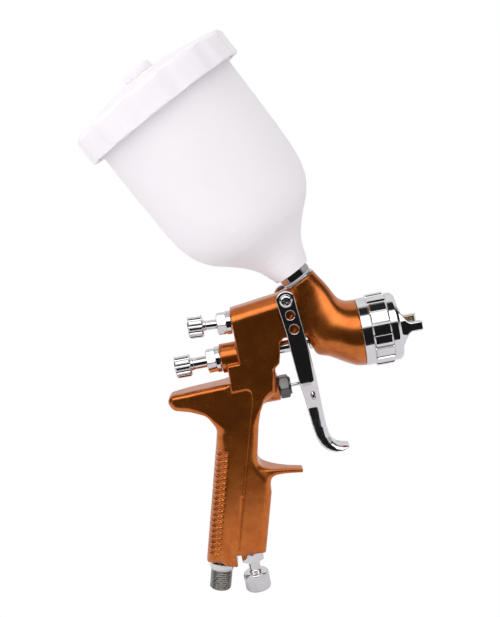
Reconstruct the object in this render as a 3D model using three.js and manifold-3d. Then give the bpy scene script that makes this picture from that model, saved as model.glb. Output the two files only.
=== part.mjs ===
// Gravity-feed spray gun with a plastic paint cup, in millimetres.
// +X is the spray direction, +Z is up, and the needle lies on the line y = 0, z = 0.
import * as THREE from "three";
import { mergeVertices } from "three/addons/utils/BufferGeometryUtils.js";
import Module from "manifold-3d";

const wasm = await Module();
wasm.setup();

// ---------- driving dimensions ----------
const FIT = 0.3; // clearance between two pieces that touch or turn in one another
const DEG = Math.PI / 180;
const SMALL_ROUND = 12; // sides of a small turned piece
const ROUND = 20; // sides of a middling turned piece
const LARGE_ROUND = 28; // sides of the ring, the cap, the cup and the lid

const block = { halfWidth: 11.7, rearX: -12, rearTopZ: 28.3, frontX: 15.5, frontTopZ: 32, topRound: 7 };
const handle = { halfWidth: 12, tilt: 15.5, rearX: -38, rearZ: -60, frontX: -8, frontZ: -82, footZ: -120 };
const handleSection = { roundRear: 9, roundFront: 4 };
const ribs = { count: 18, pitch: 3.5, width: 1.2, depth: 0.8, firstZ: -52 };
const horn = { halfWidth: 10 };
const spur = { halfWidth: 8.5 };
const head = { frontX: 61, radius: 19.7, shoulder: 3.4, spigotLength: 8.5, wall: 2.8, postRadius: 7.2 };
const neck = { x: 31.2, z: 37.4, lean: 27, radius: 9.7, boreRadius: 5.7, boreDepth: 12, fluidRadius: 3.6 };
const needle = { radius: 1.5, beyondNozzle: 0.6, taper: 6, tailX: -9, tipRadius: 0.4 };
const collar = { radius: 3.75, rearX: 3 };
const boss = { radius: 8.7, rearX: -22.5 };
const fluidNut = { corner: 7.5, hexLength: 5.5, flangeRadius: 7.7, flangeLength: 2.7, sleeveLength: 8 };
const fluidKnob = { radius: 6.9, length: 9.5, stemRadius: 3.5, exposed: 9.5, flutes: 12 };
const gland = {
  rearX: 30.3, hexLength: 2.6, corner: 4.4, threadRadius: 3.6, threadLength: 3, packingLength: 5,
};
const springCap = { length: 3.4 };
const needleSpring = { inset: 0.15, wire: 0.8, turns: 6 };
const fanLineAt = { x: -12, z: 20.35, rise: 3.5 };
const fanNut = { corner: 7, hexLength: 5.5, flangeRadius: 7, flangeLength: 3.2, sleeveLength: 8 };
const fanKnob = { radius: 6.8, length: 9, stemRadius: 2.8, exposed: 8, flutes: 12 };
const fanNeedle = { radius: 2.2, length: 17.5, taper: 4 };
const airControl = { behindFront: 8.5 };
const airControlNut = {
  corner: 7.5, hexLength: 5.8, flangeRadius: 5.6, flangeLength: 0.6, sleeveLength: 8,
};
const sleeveWall = 0.9; // of each of the three nuts that hold a knob's stem
const airControlKnob = { radius: 7.75, length: 11.5, stemRadius: 3.5, exposed: 7, flutes: 8 };
const airControlNeedle = { radius: 2.6, length: 16, taper: 5 };
const airValve = { faceX: 8, z: -23.6, bossRadius: 7.7, boreRadius: 5.5, boreEndX: -30 };
const airNut = {
  corner: 7.4, hexLength: 6, stepRadius: 5.4, stepLength: 1, sleeveLength: 5, boreRadius: 1.5,
};
const airStem = { radius: 1 };
const airSeat = { frontX: -5, length: 3.3, boreRadius: 2.8 };
const poppet = { radius: 4.2, length: 2.4, tailRadius: 1.6, tailLength: 3 };
const airSpring = { radius: 3.2, wire: 0.9, turns: 5 };
const inlet = {
  fromRear: 9.7, threadRadius: 6.58, threadPitch: 1.337, threadLength: 12.2, neckRadius: 5.1,
  spigotLength: 10, boreRadius: 4.3,
};
const inletCollar = { radius: 7.4, length: 4.2 };
const pivot = {
  x: 21.3, z: 29, boreRadius: 3.7, sleeveRadius: 3.4, screwRadius: 1.9, headRadius: 3.9, headLength: 1.9,
};
const trigger = { armInner: 12.4, wall: 1.6, webTopZ: 2.5, webThickness: 1.8, crownRadius: 5.8 };
const ring = {
  proud: 0.3, gripProud: 1.3, rearLand: 5.7, gripLength: 11, length: 22.7, lands: 18, grooveDepth: 1.2,
};
const airCap = {
  seatGap: 4.5, flangeLip: 0.9, bodyStep: 1.3, flangeLength: 3, length: 12.2, holeRadius: 2.5,
};
const capHorn = { inset: 3, width: 5, height: 5.6, length: 10.3 };
const nozzle = {
  shankRadius: 4.3, shankLength: 13, flangeRadius: 7.6, flangeLength: 3.6, tipRadius: 1.9, beyondCap: 1.4,
};
const distributor = { innerRadius: 8.1, edgeInset: 0.4, thickness: 2.2, holes: 10, holeRadius: 1.1 };
const cup = { radius: 45, wall: 1.8, sideLength: 24, rimLength: 13, mouthRadius: 11.3, outletRadius: 6 };
const lid = { overhang: 7, grooveDepth: 1.3, lobes: 12, height: 17, domeRise: 6, wall: 2.2 };
const vent = { radius: 9.25, height: 5.5, plugRadius: 3, plugLength: 3.5 };
const cupHex = { corner: 9.6, length: 3.8, sleeveRadius: 8.2, sleeveLength: 10 };
const adapter = { flangeRadius: 9.9, flangeThickness: 1, threadRadius: 5.5, threadLength: 8 };
const cupGasket = { thickness: 0.6 };
const strainer = { flangeRadius: 6.9, baseRadius: 5, topRadius: 3.2, height: 22, wall: 1 };

// ---------- finishes ----------
const finish = (color, roughness, metalness) =>
  new THREE.MeshStandardMaterial({ color, roughness, metalness });
const copperPaint = finish(0xb4602c, 0.35, 0.8);
const chromePlate = finish(0xd8dadd, 0.12, 1);
const greySteel = finish(0x6f6d69, 0.45, 0.9);
const blackNickel = finish(0x55544f, 0.35, 0.9);
const brass = finish(0xb99a5a, 0.3, 0.9);
const springSteel = finish(0xa9abad, 0.3, 1);
const milkyPlastic = finish(0xf1ebf1, 0.5, 0);
const sealPlastic = finish(0xe8e6df, 0.6, 0);
const blackRubber = finish(0x1c1c1c, 0.8, 0);

// ---------- shape helpers ----------
// A closed geometry as a solid, with its faces turned outwards.
function solid(geometry) {
  const bare = geometry.clone();
  bare.deleteAttribute("normal");
  bare.deleteAttribute("uv");
  const merged = mergeVertices(bare, 1e-4);
  const vertProperties = merged.attributes.position.array;
  const kept = [];
  for (let i = 0; i < merged.index.count; i += 3) {
    const [a, b, c] = merged.index.array.subarray(i, i + 3);
    if (a !== b && b !== c && c !== a) kept.push(a, b, c);
  }
  const made = new wasm.Manifold(new wasm.Mesh({
    numProp: 3, vertProperties, triVerts: new Uint32Array(kept),
  }));
  if (made.volume() > 0) return made;
  kept.reverse();
  return new wasm.Manifold(new wasm.Mesh({ numProp: 3, vertProperties, triVerts: new Uint32Array(kept) }));
}

function geometryOf(made) {
  const mesh = made.getMesh();
  const geometry = new THREE.BufferGeometry();
  geometry.setAttribute("position", new THREE.BufferAttribute(new Float32Array(mesh.vertProperties), 3));
  geometry.setIndex(new THREE.BufferAttribute(new Uint32Array(mesh.triVerts), 1));
  geometry.computeVertexNormals();
  return geometry;
}

const join = (first, ...others) => others.reduce((whole, piece) => whole.add(piece), first);
const cut = (first, ...tools) => tools.reduce((whole, tool) => whole.subtract(tool), first);

// A turned solid about local +Z. The profile's points are [radius, height]: it starts and ends on the
// axis, or, for a ring, closes on itself.
function turned(profile, sides = ROUND, ringShaped = false) {
  const points = profile.map(([radius, height]) => new THREE.Vector2(radius, height));
  if (ringShaped) points.push(points[0].clone());
  return solid(new THREE.LatheGeometry(points, sides).rotateX(Math.PI / 2));
}

const rod = (radius, from, to, sides = SMALL_ROUND) =>
  turned([[0, from], [radius, from], [radius, to], [0, to]], sides);

const tube = (inner, outer, from, to, sides = SMALL_ROUND) =>
  turned([[inner, from], [outer, from], [outer, to], [inner, to]], sides, true);

// A straight bar along local +Z on an outline of [x, y] points.
function bar(outline, from, to) {
  const shape = new THREE.Shape(outline.map(([x, y]) => new THREE.Vector2(x, y)));
  const geometry = new THREE.ExtrudeGeometry(shape, { depth: to - from, bevelEnabled: false });
  return solid(geometry.translate(0, 0, from));
}

const polygon = (sides, cornerRadius, turn = 0) =>
  Array.from({ length: sides }, (_, i) => {
    const angle = (i / sides) * 2 * Math.PI + turn;
    return [cornerRadius * Math.cos(angle), cornerRadius * Math.sin(angle)];
  });

// A round outline with broad lands and narrow grooves between them.
function fluted(radius, depth, count, landShare) {
  const outline = [];
  for (let i = 0; i < count; i++) {
    const start = (i / count) * 2 * Math.PI;
    const land = ((landShare * 2 * Math.PI) / count);
    const ramp = (2 * Math.PI / count - land) * 0.25;
    outline.push([radius, start], [radius, start + land / 2], [radius, start + land]);
    outline.push(
      [radius - depth, start + land + ramp], [radius - depth, start + 2 * Math.PI / count - ramp],
    );
  }
  return outline.map(([r, angle]) => [r * Math.cos(angle), r * Math.sin(angle)]);
}

// A plate parallel to the XZ plane on an outline of [x, z] points, between y = -half and y = half.
function plate(outline, half) {
  const shape = new THREE.Shape(outline.map(([x, z]) => new THREE.Vector2(x, z)));
  const geometry = new THREE.ExtrudeGeometry(shape, { depth: 2 * half, bevelEnabled: false });
  return solid(geometry.rotateX(Math.PI / 2).translate(0, half, 0));
}

// Points of an arc in [x, z], from one angle to another in degrees.
const arc = (x, z, radius, fromDeg, toDeg, steps) =>
  Array.from({ length: steps + 1 }, (_, i) => {
    const angle = (fromDeg + ((toDeg - fromDeg) * i) / steps) * DEG;
    return [x + radius * Math.cos(angle), z + radius * Math.sin(angle)];
  });

// A body lofted through oval sections, each between an upper and a lower point [x, z] with a half width in
// y.
function loft(sections, sides) {
  const rows = sections.length - 1;
  const geometry = new THREE.CylinderGeometry(1, 1, 1, sides, rows);
  const position = geometry.attributes.position;
  for (let i = 0; i < position.count; i++) {
    const { upper, lower, half } = sections[Math.round((0.5 - position.getY(i)) * rows)];
    const across = position.getX(i);
    const along = position.getZ(i);
    const x = (upper[0] + lower[0]) / 2 + (along * (upper[0] - lower[0])) / 2;
    const z = (upper[1] + lower[1]) / 2 + (along * (upper[1] - lower[1])) / 2;
    position.setXYZ(i, x, across * half, z);
  }
  return solid(geometry);
}

class Helix extends THREE.Curve {
  constructor(radius, length, turns) {
    super();
    Object.assign(this, { radius, length, turns });
  }
  getPoint(t, target = new THREE.Vector3()) {
    const angle = t * this.turns * 2 * Math.PI;
    return target.set(this.radius * Math.cos(angle), this.radius * Math.sin(angle), t * this.length);
  }
}

// A coil spring along local +Z between two heights.
function coil({ radius, wire, turns }, from, to) {
  const half = wire / 2;
  const path = new Helix(radius, to - from - wire, turns);
  const corners = [[half, 0], [0, half], [-half, 0], [0, -half]];
  const shape = new THREE.Shape(corners.map(([x, y]) => new THREE.Vector2(x, y)));
  const geometry = new THREE.ExtrudeGeometry(
    shape, { steps: turns * 10, extrudePath: path, bevelEnabled: false },
  );
  return solid(geometry.translate(0, 0, from + half));
}

// A line of pieces: a group whose local +Z is the line's axis, turned about Y from +Z.
function lineAt(x, z, turnDeg) {
  const group = new THREE.Group();
  group.position.set(x, 0, z);
  group.rotation.y = turnDeg * DEG;
  group.updateMatrixWorld(true);
  return group;
}

// A solid in a line's own frame, taken into the gun's frame.
function inGun(line, made) {
  return solid(geometryOf(made).applyMatrix4(line.matrixWorld));
}

const gun = new THREE.Group();

function add(line, name, made, material) {
  const mesh = new THREE.Mesh(geometryOf(made), material);
  mesh.name = name;
  line.add(mesh);
  return mesh;
}

// ---------- sizes that follow from the driving ones ----------
// The x of a point that is carried along the handle's lean from one height to another.
const leanBack = (x, fromZ, toZ) => x - (fromZ - toZ) * Math.tan(handle.tilt * DEG);
const heelZ = handle.footZ - 1.1; // lowest point of the handle's rear edge
const heelX = leanBack(handle.rearX, handle.rearZ, heelZ);
const toeX = leanBack(handle.frontX, handle.frontZ, handle.footZ);
const inletAt = {
  x: heelX + inlet.fromRear * Math.cos(handle.tilt * DEG),
  z: heelZ - inlet.fromRear * Math.sin(handle.tilt * DEG),
};
const airControlAt = { x: toeX - airControl.behindFront, z: handle.footZ };
const spigotRadius = head.radius - head.shoulder;
const spigotEndX = head.frontX + head.spigotLength;
const capBackX = spigotEndX + airCap.seatGap;
const capFaceX = capBackX + airCap.length;
const capFlangeRadius = spigotRadius + airCap.flangeLip;
const capBodyRadius = spigotRadius - airCap.bodyStep;
const nozzleTipX = capFaceX + nozzle.beyondCap;
const needleTipX = nozzleTipX + needle.beyondNozzle;
const ringRadius = head.radius + ring.proud;
const shoulderTop = 101; // height above the neck where the cup's side becomes straight
const lidBottom = shoulderTop + cup.sideLength;
const rimTop = lidBottom + cup.rimLength;
const lidRadius = cup.radius + lid.overhang;

// ---------- the lines that the pieces stand on ----------
const needleLine = lineAt(0, 0, 90);
const fanLine = lineAt(fanLineAt.x, fanLineAt.z, fanLineAt.rise - 90);
const airValveLine = lineAt(0, airValve.z, 90);
const airControlLine = lineAt(airControlAt.x, airControlAt.z, 180);
const inletLine = lineAt(inletAt.x, inletAt.z, 180 + handle.tilt);
const cupLine = lineAt(neck.x, neck.z, -neck.lean);
gun.add(needleLine, fanLine, airValveLine, airControlLine, inletLine, cupLine);

// Places along the lines that several pieces share.
const boreClear = (radius) => radius + FIT;
const gasketFrom = adapter.flangeThickness + 2 * FIT;
const hexFrom = gasketFrom + cupGasket.thickness + FIT;
const capFrontX = -18; // front of the needle's spring cap
const capRearX = capFrontX - springCap.length;
const seatRearX = airSeat.frontX - airSeat.length;
const poppetRearX = seatRearX - FIT - poppet.length;
const sleeveRadius = (knob) => boreClear(knob.stemRadius) + sleeveWall;
const chamberRadius = boreClear(sleeveRadius(fluidKnob));
const packingFrom = gland.rearX + gland.hexLength + gland.threadLength + FIT;

// ---------- gun body ----------
function bodyBlock() {
  const { halfWidth, rearX, rearTopZ, frontX, frontTopZ, topRound } = block;
  const side = [
    [rearX, rearTopZ], [frontX, frontTopZ], [24.5, 33.6], [31.5, 30], [32.5, 6.9], [15.5, 6.9],
    [13.5, 5.5], [12.5, 0], [11, -7], [9.4, -8.8], [airValve.faceX, -10],
    [airValve.faceX, airValve.z - 7.6],
    [-1, -31.3], [-4, -34], [-6.5, -38], [-20, -45], [-32, -40], [-19.5, -14], [-19.5, -3], [rearX, -3],
  ];
  const slope = Math.atan2(frontTopZ - rearTopZ, frontX - rearX);
  const top = rearTopZ + rearX * -Math.tan(slope) - 0.05;
  const round = (sign) => arc(
    sign * (halfWidth - topRound), top - topRound, topRound, sign > 0 ? 0 : 90, sign > 0 ? 90 : 180, 5,
  );
  const outline = [[-halfWidth, -60], [halfWidth, -60], ...round(1), ...round(-1)];
  const along = bar(outline.map(([y, z]) => [-z, y]), -60, 60);
  const line = lineAt(0, 0, 90 - slope / DEG);
  return plate(side, halfWidth).intersect(inGun(line, along));
}

function bodyHandle() {
  const { halfWidth, tilt, rearX, rearZ, frontX, frontZ, footZ } = handle;
  const { roundRear, roundFront } = handleSection;
  const inletStepX = (inletAt.x + airControlAt.x) / 2;
  const side = [
    [-19, -20], [-3, -33], [-6.5, -37], [-8, -42], [-10, -52], [-12.3, -60], [-12.8, -63], [-12, -65.8],
    [-9.5, -68], [-5, -70.5], [-3, -74.6], [-6, -77], [frontX, frontZ], [toeX, footZ],
    [inletStepX, footZ + 1.2],
    [inletStepX, heelZ - (inletStepX - heelX) * Math.tan(tilt * DEG)], [heelX, heelZ], [rearX, rearZ],
    [-35, -50],
    [-33.2, -42], [-33.2, -38], [-34.5, -34], [-36, -30], [-30, -20],
  ];
  // The section is square to the handle: its rear is nearly a half round and its front corners are small.
  const middle = { x: -24.5, z: -70 };
  const forward = (x, z) => (x - middle.x) * Math.cos(tilt * DEG) - (z - middle.z) * Math.sin(tilt * DEG);
  const rearU = forward(rearX, rearZ);
  const frontU = forward(frontX, frontZ);
  const section = [
    ...arc(frontU - roundFront, -halfWidth + roundFront, roundFront, -90, 0, 3),
    ...arc(frontU - roundFront, halfWidth - roundFront, roundFront, 0, 90, 3),
    ...arc(rearU + roundRear, halfWidth - roundRear, roundRear, 90, 180, 5),
    ...arc(rearU + roundRear, -halfWidth + roundRear, roundRear, 180, 270, 5),
  ];
  const line = lineAt(middle.x, middle.z, tilt);
  const lower = plate(side, halfWidth).intersect(inGun(line, bar(section, -100, 58)));
  const grooves = [];
  for (let i = 0; i < ribs.count; i++) {
    const from = ribs.firstZ - middle.z - i * ribs.pitch;
    const strip = new THREE.BoxGeometry(2 * ribs.depth, 18, ribs.width).translate(rearU, 0, from);
    grooves.push(inGun(line, solid(strip)));
  }
  return cut(lower, ...grooves);
}

function bodyHorn() {
  const top = [[-15, -13.8], [-40, -14.5], [-55, -15.3]];
  const tip = arc(-54, -20, 4.4, 105, 250, 5);
  const under = [
    [-50, -26.3], [-45, -27.3], [-40, -29], [-37, -31], [-34.5, -34], [-33, -38], [-22, -38], [-15, -25],
  ];
  const side = plate([...top, ...tip, ...under], horn.halfWidth);
  const plan = [
    [-10, -horn.halfWidth], [-10, horn.halfWidth], [-45, horn.halfWidth - 0.5], [-54, horn.halfWidth - 2.5],
    [-58, horn.halfWidth - 6], [-58.8, 0], [-58, 6 - horn.halfWidth], [-54, 2.5 - horn.halfWidth],
    [-45, 0.5 - horn.halfWidth],
  ];
  return side.intersect(bar(plan, -60, 0));
}

function bodySpur() {
  const side = [
    [-14, -66], [-9.5, -68], [-7, -68.8], [11.6, -73.5], [13.1, -75], [12.6, -76.8], [11.4, -77.4],
    [-3, -74.6], [-14, -76],
  ];
  const half = spur.halfWidth;
  const plan = [
    [-14, -half], [6, -half], [11, 2 - half], [13.4, 5 - half], [13.4, half - 5], [11, half - 2],
    [6, half], [-14, half],
  ];
  return plate(side, half).intersect(bar(plan, -80, -60));
}

function bodyHead() {
  const neckEdge = (side) => [
    neck.x + side * (neck.radius + 0.4) * Math.cos(neck.lean * DEG),
    neck.z + side * (neck.radius + 0.4) * Math.sin(neck.lean * DEG),
  ];
  const sections = [
    { upper: neckEdge(1), lower: neckEdge(-1), half: neck.radius },
    { upper: [43, 37.5], lower: [24.2, 27], half: 10.2 },
    { upper: [45.3, 34], lower: [27, 17], half: 11.2 },
    { upper: [47.7, 29.7], lower: [30.2, 6], half: 12.5 },
    { upper: [50, 25.4], lower: [33.5, -7.2], half: 14.2 },
    { upper: [52.3, head.radius + 2.5], lower: [41, 8.9 - head.radius], half: head.radius - 3.3 },
    { upper: [55, head.radius + 0.7], lower: [49, 4.1 - head.radius], half: head.radius - 1.3 },
    { upper: [58, head.radius], lower: [55.5, 1 - head.radius], half: head.radius - 0.2 },
    { upper: [head.frontX, head.radius], lower: [head.frontX, -head.radius], half: head.radius },
  ];
  const elbow = loft(sections, ROUND);
  const spigot = inGun(needleLine, rod(spigotRadius, head.frontX - 4, spigotEndX, LARGE_ROUND));
  return join(elbow, spigot);
}

function bodyPassages() {
  const pocketRadius = spigotRadius - head.wall;
  const straight = (radius, from, to) => inGun(needleLine, rod(radius, from, to));
  const onLine = (line, radius, from, to) => inGun(line, rod(radius, from, to));
  const airPocket = inGun(
    needleLine, tube(head.postRadius, pocketRadius, head.frontX - 4, spigotEndX + 1, ROUND),
  );
  const postEnd = inGun(needleLine, rod(pocketRadius, spigotEndX - 3.2, spigotEndX + 1, ROUND));
  const duct = new THREE.LineCurve3(new THREE.Vector3(7, 0, 19), new THREE.Vector3(59, 11, 4));
  const ductShape = new THREE.Shape(polygon(8, 2.6).map(([x, y]) => new THREE.Vector2(x, y)));
  const fanDuct = solid(new THREE.ExtrudeGeometry(
    ductShape, { steps: 1, extrudePath: duct, bevelEnabled: false },
  ));
  const riser = inGun(lineAt(-1, 0, 0), rod(2.4, airValve.z, fanLineAt.z, 8).translate([0, 7.2, 0]));
  const crossPort = inGun(
    lineAt(-1, fanLineAt.z - 0.6, 0), solid(new THREE.BoxGeometry(3.4, 6, 3.4).translate(0, 6, 0)),
  );
  const wayShape = new THREE.Shape(polygon(8, 3.4).map(([x, y]) => new THREE.Vector2(x, y)));
  const rearWay = solid(new THREE.ExtrudeGeometry(wayShape, {
    steps: 1,
    extrudePath: new THREE.LineCurve3(
      new THREE.Vector3(airControlAt.x, 0, handle.footZ + 22), new THREE.Vector3(-19, 0, airValve.z),
    ),
    bevelEnabled: false,
  }));
  const link = solid(new THREE.BoxGeometry(16, 5, 5).translate(airControlAt.x - 7.5, 0, handle.footZ + 16));
  return [
    straight(chamberRadius, boss.rearX - 1, -6),
    straight(boreClear(collar.radius), -7, 20),
    straight(boreClear(gland.corner), 25, gland.rearX + gland.hexLength + FIT),
    straight(boreClear(gland.threadRadius), 25, packingFrom + gland.packingLength + FIT),
    straight(2.4, 38, 46),
    straight(nozzle.shankRadius + FIT, 46, spigotEndX),
    airPocket,
    postEnd,
    onLine(cupLine, neck.boreRadius, -neck.boreDepth - 1, 10),
    onLine(cupLine, neck.fluidRadius, -41, 0),
    onLine(fanLine, boreClear(sleeveRadius(fanKnob)), -14, 3),
    onLine(fanLine, 2.6, -21.5, 0),
    fanDuct,
    riser,
    crossPort,
    onLine(airValveLine, airValve.boreRadius, airValve.boreEndX, airValve.faceX + 1),
    onLine(airControlLine, boreClear(sleeveRadius(airControlKnob)), -18, 4),
    onLine(airControlLine, 3, -24, 0),
    onLine(inletLine, boreClear(inlet.neckRadius), -inlet.spigotLength - 0.5, 2),
    onLine(inletLine, inlet.boreRadius, -24, 0),
    rearWay,
    link,
    inGun(pivotLine(1), rod(pivot.boreRadius, -20, 20)),
  ];
}

// The pivot's line runs out of the right arm (side 1, towards -Y) or the left arm (side -1).
function pivotLine(side) {
  const group = new THREE.Group();
  group.position.set(pivot.x, 0, pivot.z);
  group.rotation.x = (side * Math.PI) / 2;
  group.updateMatrixWorld(true);
  return group;
}

function gunBody() {
  const knobBoss = inGun(needleLine, rod(boss.radius, boss.rearX, -5, ROUND));
  const valveBoss = inGun(airValveLine, rod(airValve.bossRadius, -8, airValve.faceX, ROUND));
  const fanFace = inGun(fanLine, rod(fanNut.flangeRadius + 0.6, -6, 0, ROUND));
  const whole = join(
    bodyBlock(), bodyHandle(), bodyHorn(), bodySpur(), bodyHead(), knobBoss, valveBoss, fanFace,
  );
  // where the trigger's web swings
  const window = solid(new THREE.BoxGeometry(15, 40, 30).translate(23.4, 0, -8.2));
  const neckTop = inGun(cupLine, rod(30, 0, 20));
  const nutSeat = inGun(fanLine, rod(fanNut.flangeRadius + 1, 0, 4));
  return cut(whole, window, neckTop, nutSeat, ...bodyPassages());
}

// ---------- pieces on the needle's line ----------
// A nut with a hexagon, a round flange and a sleeve that goes into the body at local z = 0.
function glandNut({ corner, hexLength, flangeRadius, flangeLength, sleeveLength }, knob) {
  const hex = bar(polygon(6, corner, Math.PI / 6), FIT + flangeLength, FIT + flangeLength + hexLength);
  const flange = rod(flangeRadius, FIT, FIT + flangeLength + 0.01, ROUND);
  const sleeve = rod(sleeveRadius(knob), -sleeveLength, FIT + 0.01);
  const bore = rod(boreClear(knob.stemRadius), -sleeveLength - 1, hexLength + flangeLength + 2);
  return cut(join(hex, flange, sleeve), bore);
}

// A fluted knob on a round stem. Its grip starts at local z = gripFrom, and its stem reaches back to
// stemFrom.
function stemKnob({ radius, length, stemRadius, flutes }, gripFrom, stemFrom) {
  const edge = 0.8;
  const grip = bar(fluted(radius, 0.7, flutes, 0.62), gripFrom + edge, gripFrom + length - edge);
  const rear = rod(radius - 0.8, gripFrom, gripFrom + edge + 0.01, ROUND);
  const front = rod(radius - 0.8, gripFrom + length - edge - 0.01, gripFrom + length, ROUND);
  return join(grip, rear, front, rod(stemRadius, stemFrom, gripFrom + 1));
}

function valveNeedle({ radius, length, taper }, from) {
  return turned(
    [[0, from - length], [0.6, from - length], [radius, from - length + taper], [radius, from], [0, from]],
    SMALL_ROUND,
  );
}

function addNeedleLine() {
  const line = needleLine;
  const { radius, taper, tailX, tipRadius } = needle;
  const shaft = [
    [0, tailX], [radius, tailX], [radius, needleTipX - taper], [tipRadius, needleTipX], [0, needleTipX],
  ];
  add(line, "fluid_needle", turned(shaft, SMALL_ROUND), chromePlate);
  const collarFrontX = triggerFrontAt(0) - trigger.webThickness - FIT;
  add(
    line, "needle_collar", tube(boreClear(radius), collar.radius, collar.rearX, collarFrontX), chromePlate,
  );
  const springRoom = Math.min(fluidKnob.stemRadius, collar.radius);
  const springRadius = springRoom - needleSpring.inset - needleSpring.wire / 2;
  const spring = coil({ ...needleSpring, radius: springRadius }, capFrontX + FIT, collar.rearX - FIT);
  add(line, "needle_spring", spring, springSteel);
  add(line, "needle_spring_cap", rod(fluidKnob.stemRadius, capRearX, capFrontX), brass);
  const packing = tube(
    boreClear(radius), gland.threadRadius, packingFrom, packingFrom + gland.packingLength,
  );
  add(line, "needle_packing", packing, sealPlastic);
  const glandHead = bar(polygon(6, gland.corner), gland.rearX, gland.rearX + gland.hexLength);
  const glandThread = rod(gland.threadRadius, gland.rearX + 1, packingFrom - FIT);
  add(line, "packing_nut", cut(join(glandHead, glandThread), rod(boreClear(radius), 20, 50)), chromePlate);
  const rear = lineAt(boss.rearX, 0, -90); // local +Z points to the rear
  gun.add(rear);
  add(rear, "fluid_guide_nut", glandNut(fluidNut, fluidKnob), chromePlate);
  const nutEnd = FIT + fluidNut.flangeLength + fluidNut.hexLength;
  const stemFrom = boss.rearX - capRearX + FIT;
  add(rear, "fluid_knob", stemKnob(fluidKnob, nutEnd + fluidKnob.exposed, stemFrom), chromePlate);
}

function addFanValve() {
  add(fanLine, "fan_valve_nut", glandNut(fanNut, fanKnob), chromePlate);
  const nutEnd = FIT + fanNut.flangeLength + fanNut.hexLength;
  add(fanLine, "fan_knob", stemKnob(fanKnob, nutEnd + fanKnob.exposed, FIT), chromePlate);
  add(fanLine, "fan_needle", valveNeedle(fanNeedle, 0), brass);
  const sealFrom = -fanNut.sleeveLength - FIT - 1.6;
  add(
    fanLine, "fan_seal",
    tube(boreClear(fanNeedle.radius), sleeveRadius(fanKnob), sealFrom, sealFrom + 1.6), blackRubber,
  );
}

function addAirControl() {
  add(airControlLine, "air_control_nut", glandNut(airControlNut, airControlKnob), chromePlate);
  const nutEnd = FIT + airControlNut.flangeLength + airControlNut.hexLength;
  const stemFrom = -5;
  add(
    airControlLine, "air_control_knob",
    stemKnob(airControlKnob, nutEnd + airControlKnob.exposed, stemFrom), chromePlate,
  );
  add(airControlLine, "air_control_needle", valveNeedle(airControlNeedle, stemFrom - FIT), brass);
  const sealFrom = -airControlNut.sleeveLength - FIT - 1.6;
  const seal = tube(
    boreClear(airControlNeedle.radius), sleeveRadius(airControlKnob), sealFrom, sealFrom + 1.6,
  );
  add(airControlLine, "air_control_seal", seal, blackRubber);
}

// ---------- air valve ----------
function addAirValve() {
  const line = airValveLine;
  const { corner, hexLength, stepRadius, stepLength, sleeveLength, boreRadius } = airNut;
  const from = airValve.faceX + FIT;
  const front = from + hexLength + stepLength;
  const hex = bar(polygon(6, corner, Math.PI / 6), from, from + hexLength);
  const step = rod(stepRadius, from + hexLength - 0.01, front);
  const sleeve = rod(airValve.boreRadius - FIT, from - sleeveLength, from + 0.01);
  const sealDepth = 2.8;
  const nut = cut(join(hex, step, sleeve), rod(boreRadius, 0, 30), rod(2.6, front - sealDepth, 30));
  add(line, "air_valve_nut", nut, blackNickel);
  add(
    line, "air_valve_packing", tube(boreClear(airStem.radius), 2.3, front - sealDepth + FIT, front - FIT),
    sealPlastic,
  );
  const webX = triggerFrontAt(airValve.z) - trigger.webThickness;
  add(line, "air_valve_stem", rod(airStem.radius, seatRearX, webX - FIT), chromePlate);
  const seat = tube(airSeat.boreRadius, airValve.boreRadius - FIT, seatRearX, airSeat.frontX);
  add(line, "air_valve_seat", seat, brass);
  const disc = [[0, poppetRearX - poppet.tailLength], [poppet.tailRadius, poppetRearX - poppet.tailLength],
    [poppet.tailRadius, poppetRearX], [poppet.radius, poppetRearX], [poppet.radius, seatRearX - FIT],
    [0, seatRearX - FIT]];
  add(line, "air_valve_poppet", turned(disc, SMALL_ROUND), brass);
  const spring = coil(airSpring, airValve.boreEndX + FIT, poppetRearX - FIT);
  add(line, "air_valve_spring", spring, springSteel);
}

// ---------- air inlet ----------
function addInlet() {
  const { threadRadius, threadPitch, threadLength, neckRadius, spigotLength, boreRadius } = inlet;
  const threadFrom = inletCollar.length + 2 * FIT;
  const profile = [[neckRadius, -spigotLength], [neckRadius, threadFrom]];
  const ridges = Math.floor(threadLength / threadPitch) - 1;
  for (let i = 0; i < ridges; i++) {
    const z = threadFrom + i * threadPitch;
    profile.push([threadRadius - 0.8, z], [threadRadius, z + threadPitch / 2]);
  }
  const end = threadFrom + threadLength;
  profile.push([threadRadius - 0.8, threadFrom + ridges * threadPitch], [threadRadius - 0.5, end]);
  profile.push([boreRadius, end], [boreRadius, -spigotLength]);
  add(inletLine, "air_inlet_nipple", turned(profile, 20, true), greySteel);
  const ringPiece = tube(boreClear(neckRadius), inletCollar.radius, FIT, FIT + inletCollar.length, ROUND);
  add(inletLine, "inlet_collar", ringPiece, chromePlate);
}

// ---------- trigger ----------
const triggerFrontEdge = [
  [26.9, 29], [27.5, 22], [28.7, 10], [29.5, 0], [30.3, -10], [31, -20], [31.2, -30], [31.5, -40],
  [31.8, -50],
  [32.5, -57], [34, -61], [36.2, -62.8], [42.3, -64.7],
];
const triggerRearEdge = [
  [15.6, 29], [16.8, 20], [18, 10], [18.5, 0], [19.3, -10], [20, -20], [21.5, -30], [22, -37], [23.3, -50],
  [24.5, -57], [26, -61], [28, -64], [31, -66], [34, -67.3], [38, -67.6], [42.5, -65.9],
];

// The x of the trigger's front edge at a height.
function triggerFrontAt(z) {
  const below = triggerFrontEdge.findIndex((point) => point[1] <= z);
  const [x1, z1] = triggerFrontEdge[below];
  const [x0, z0] = triggerFrontEdge[below - 1];
  return x0 + ((x1 - x0) * (z0 - z)) / (z0 - z1);
}

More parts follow.
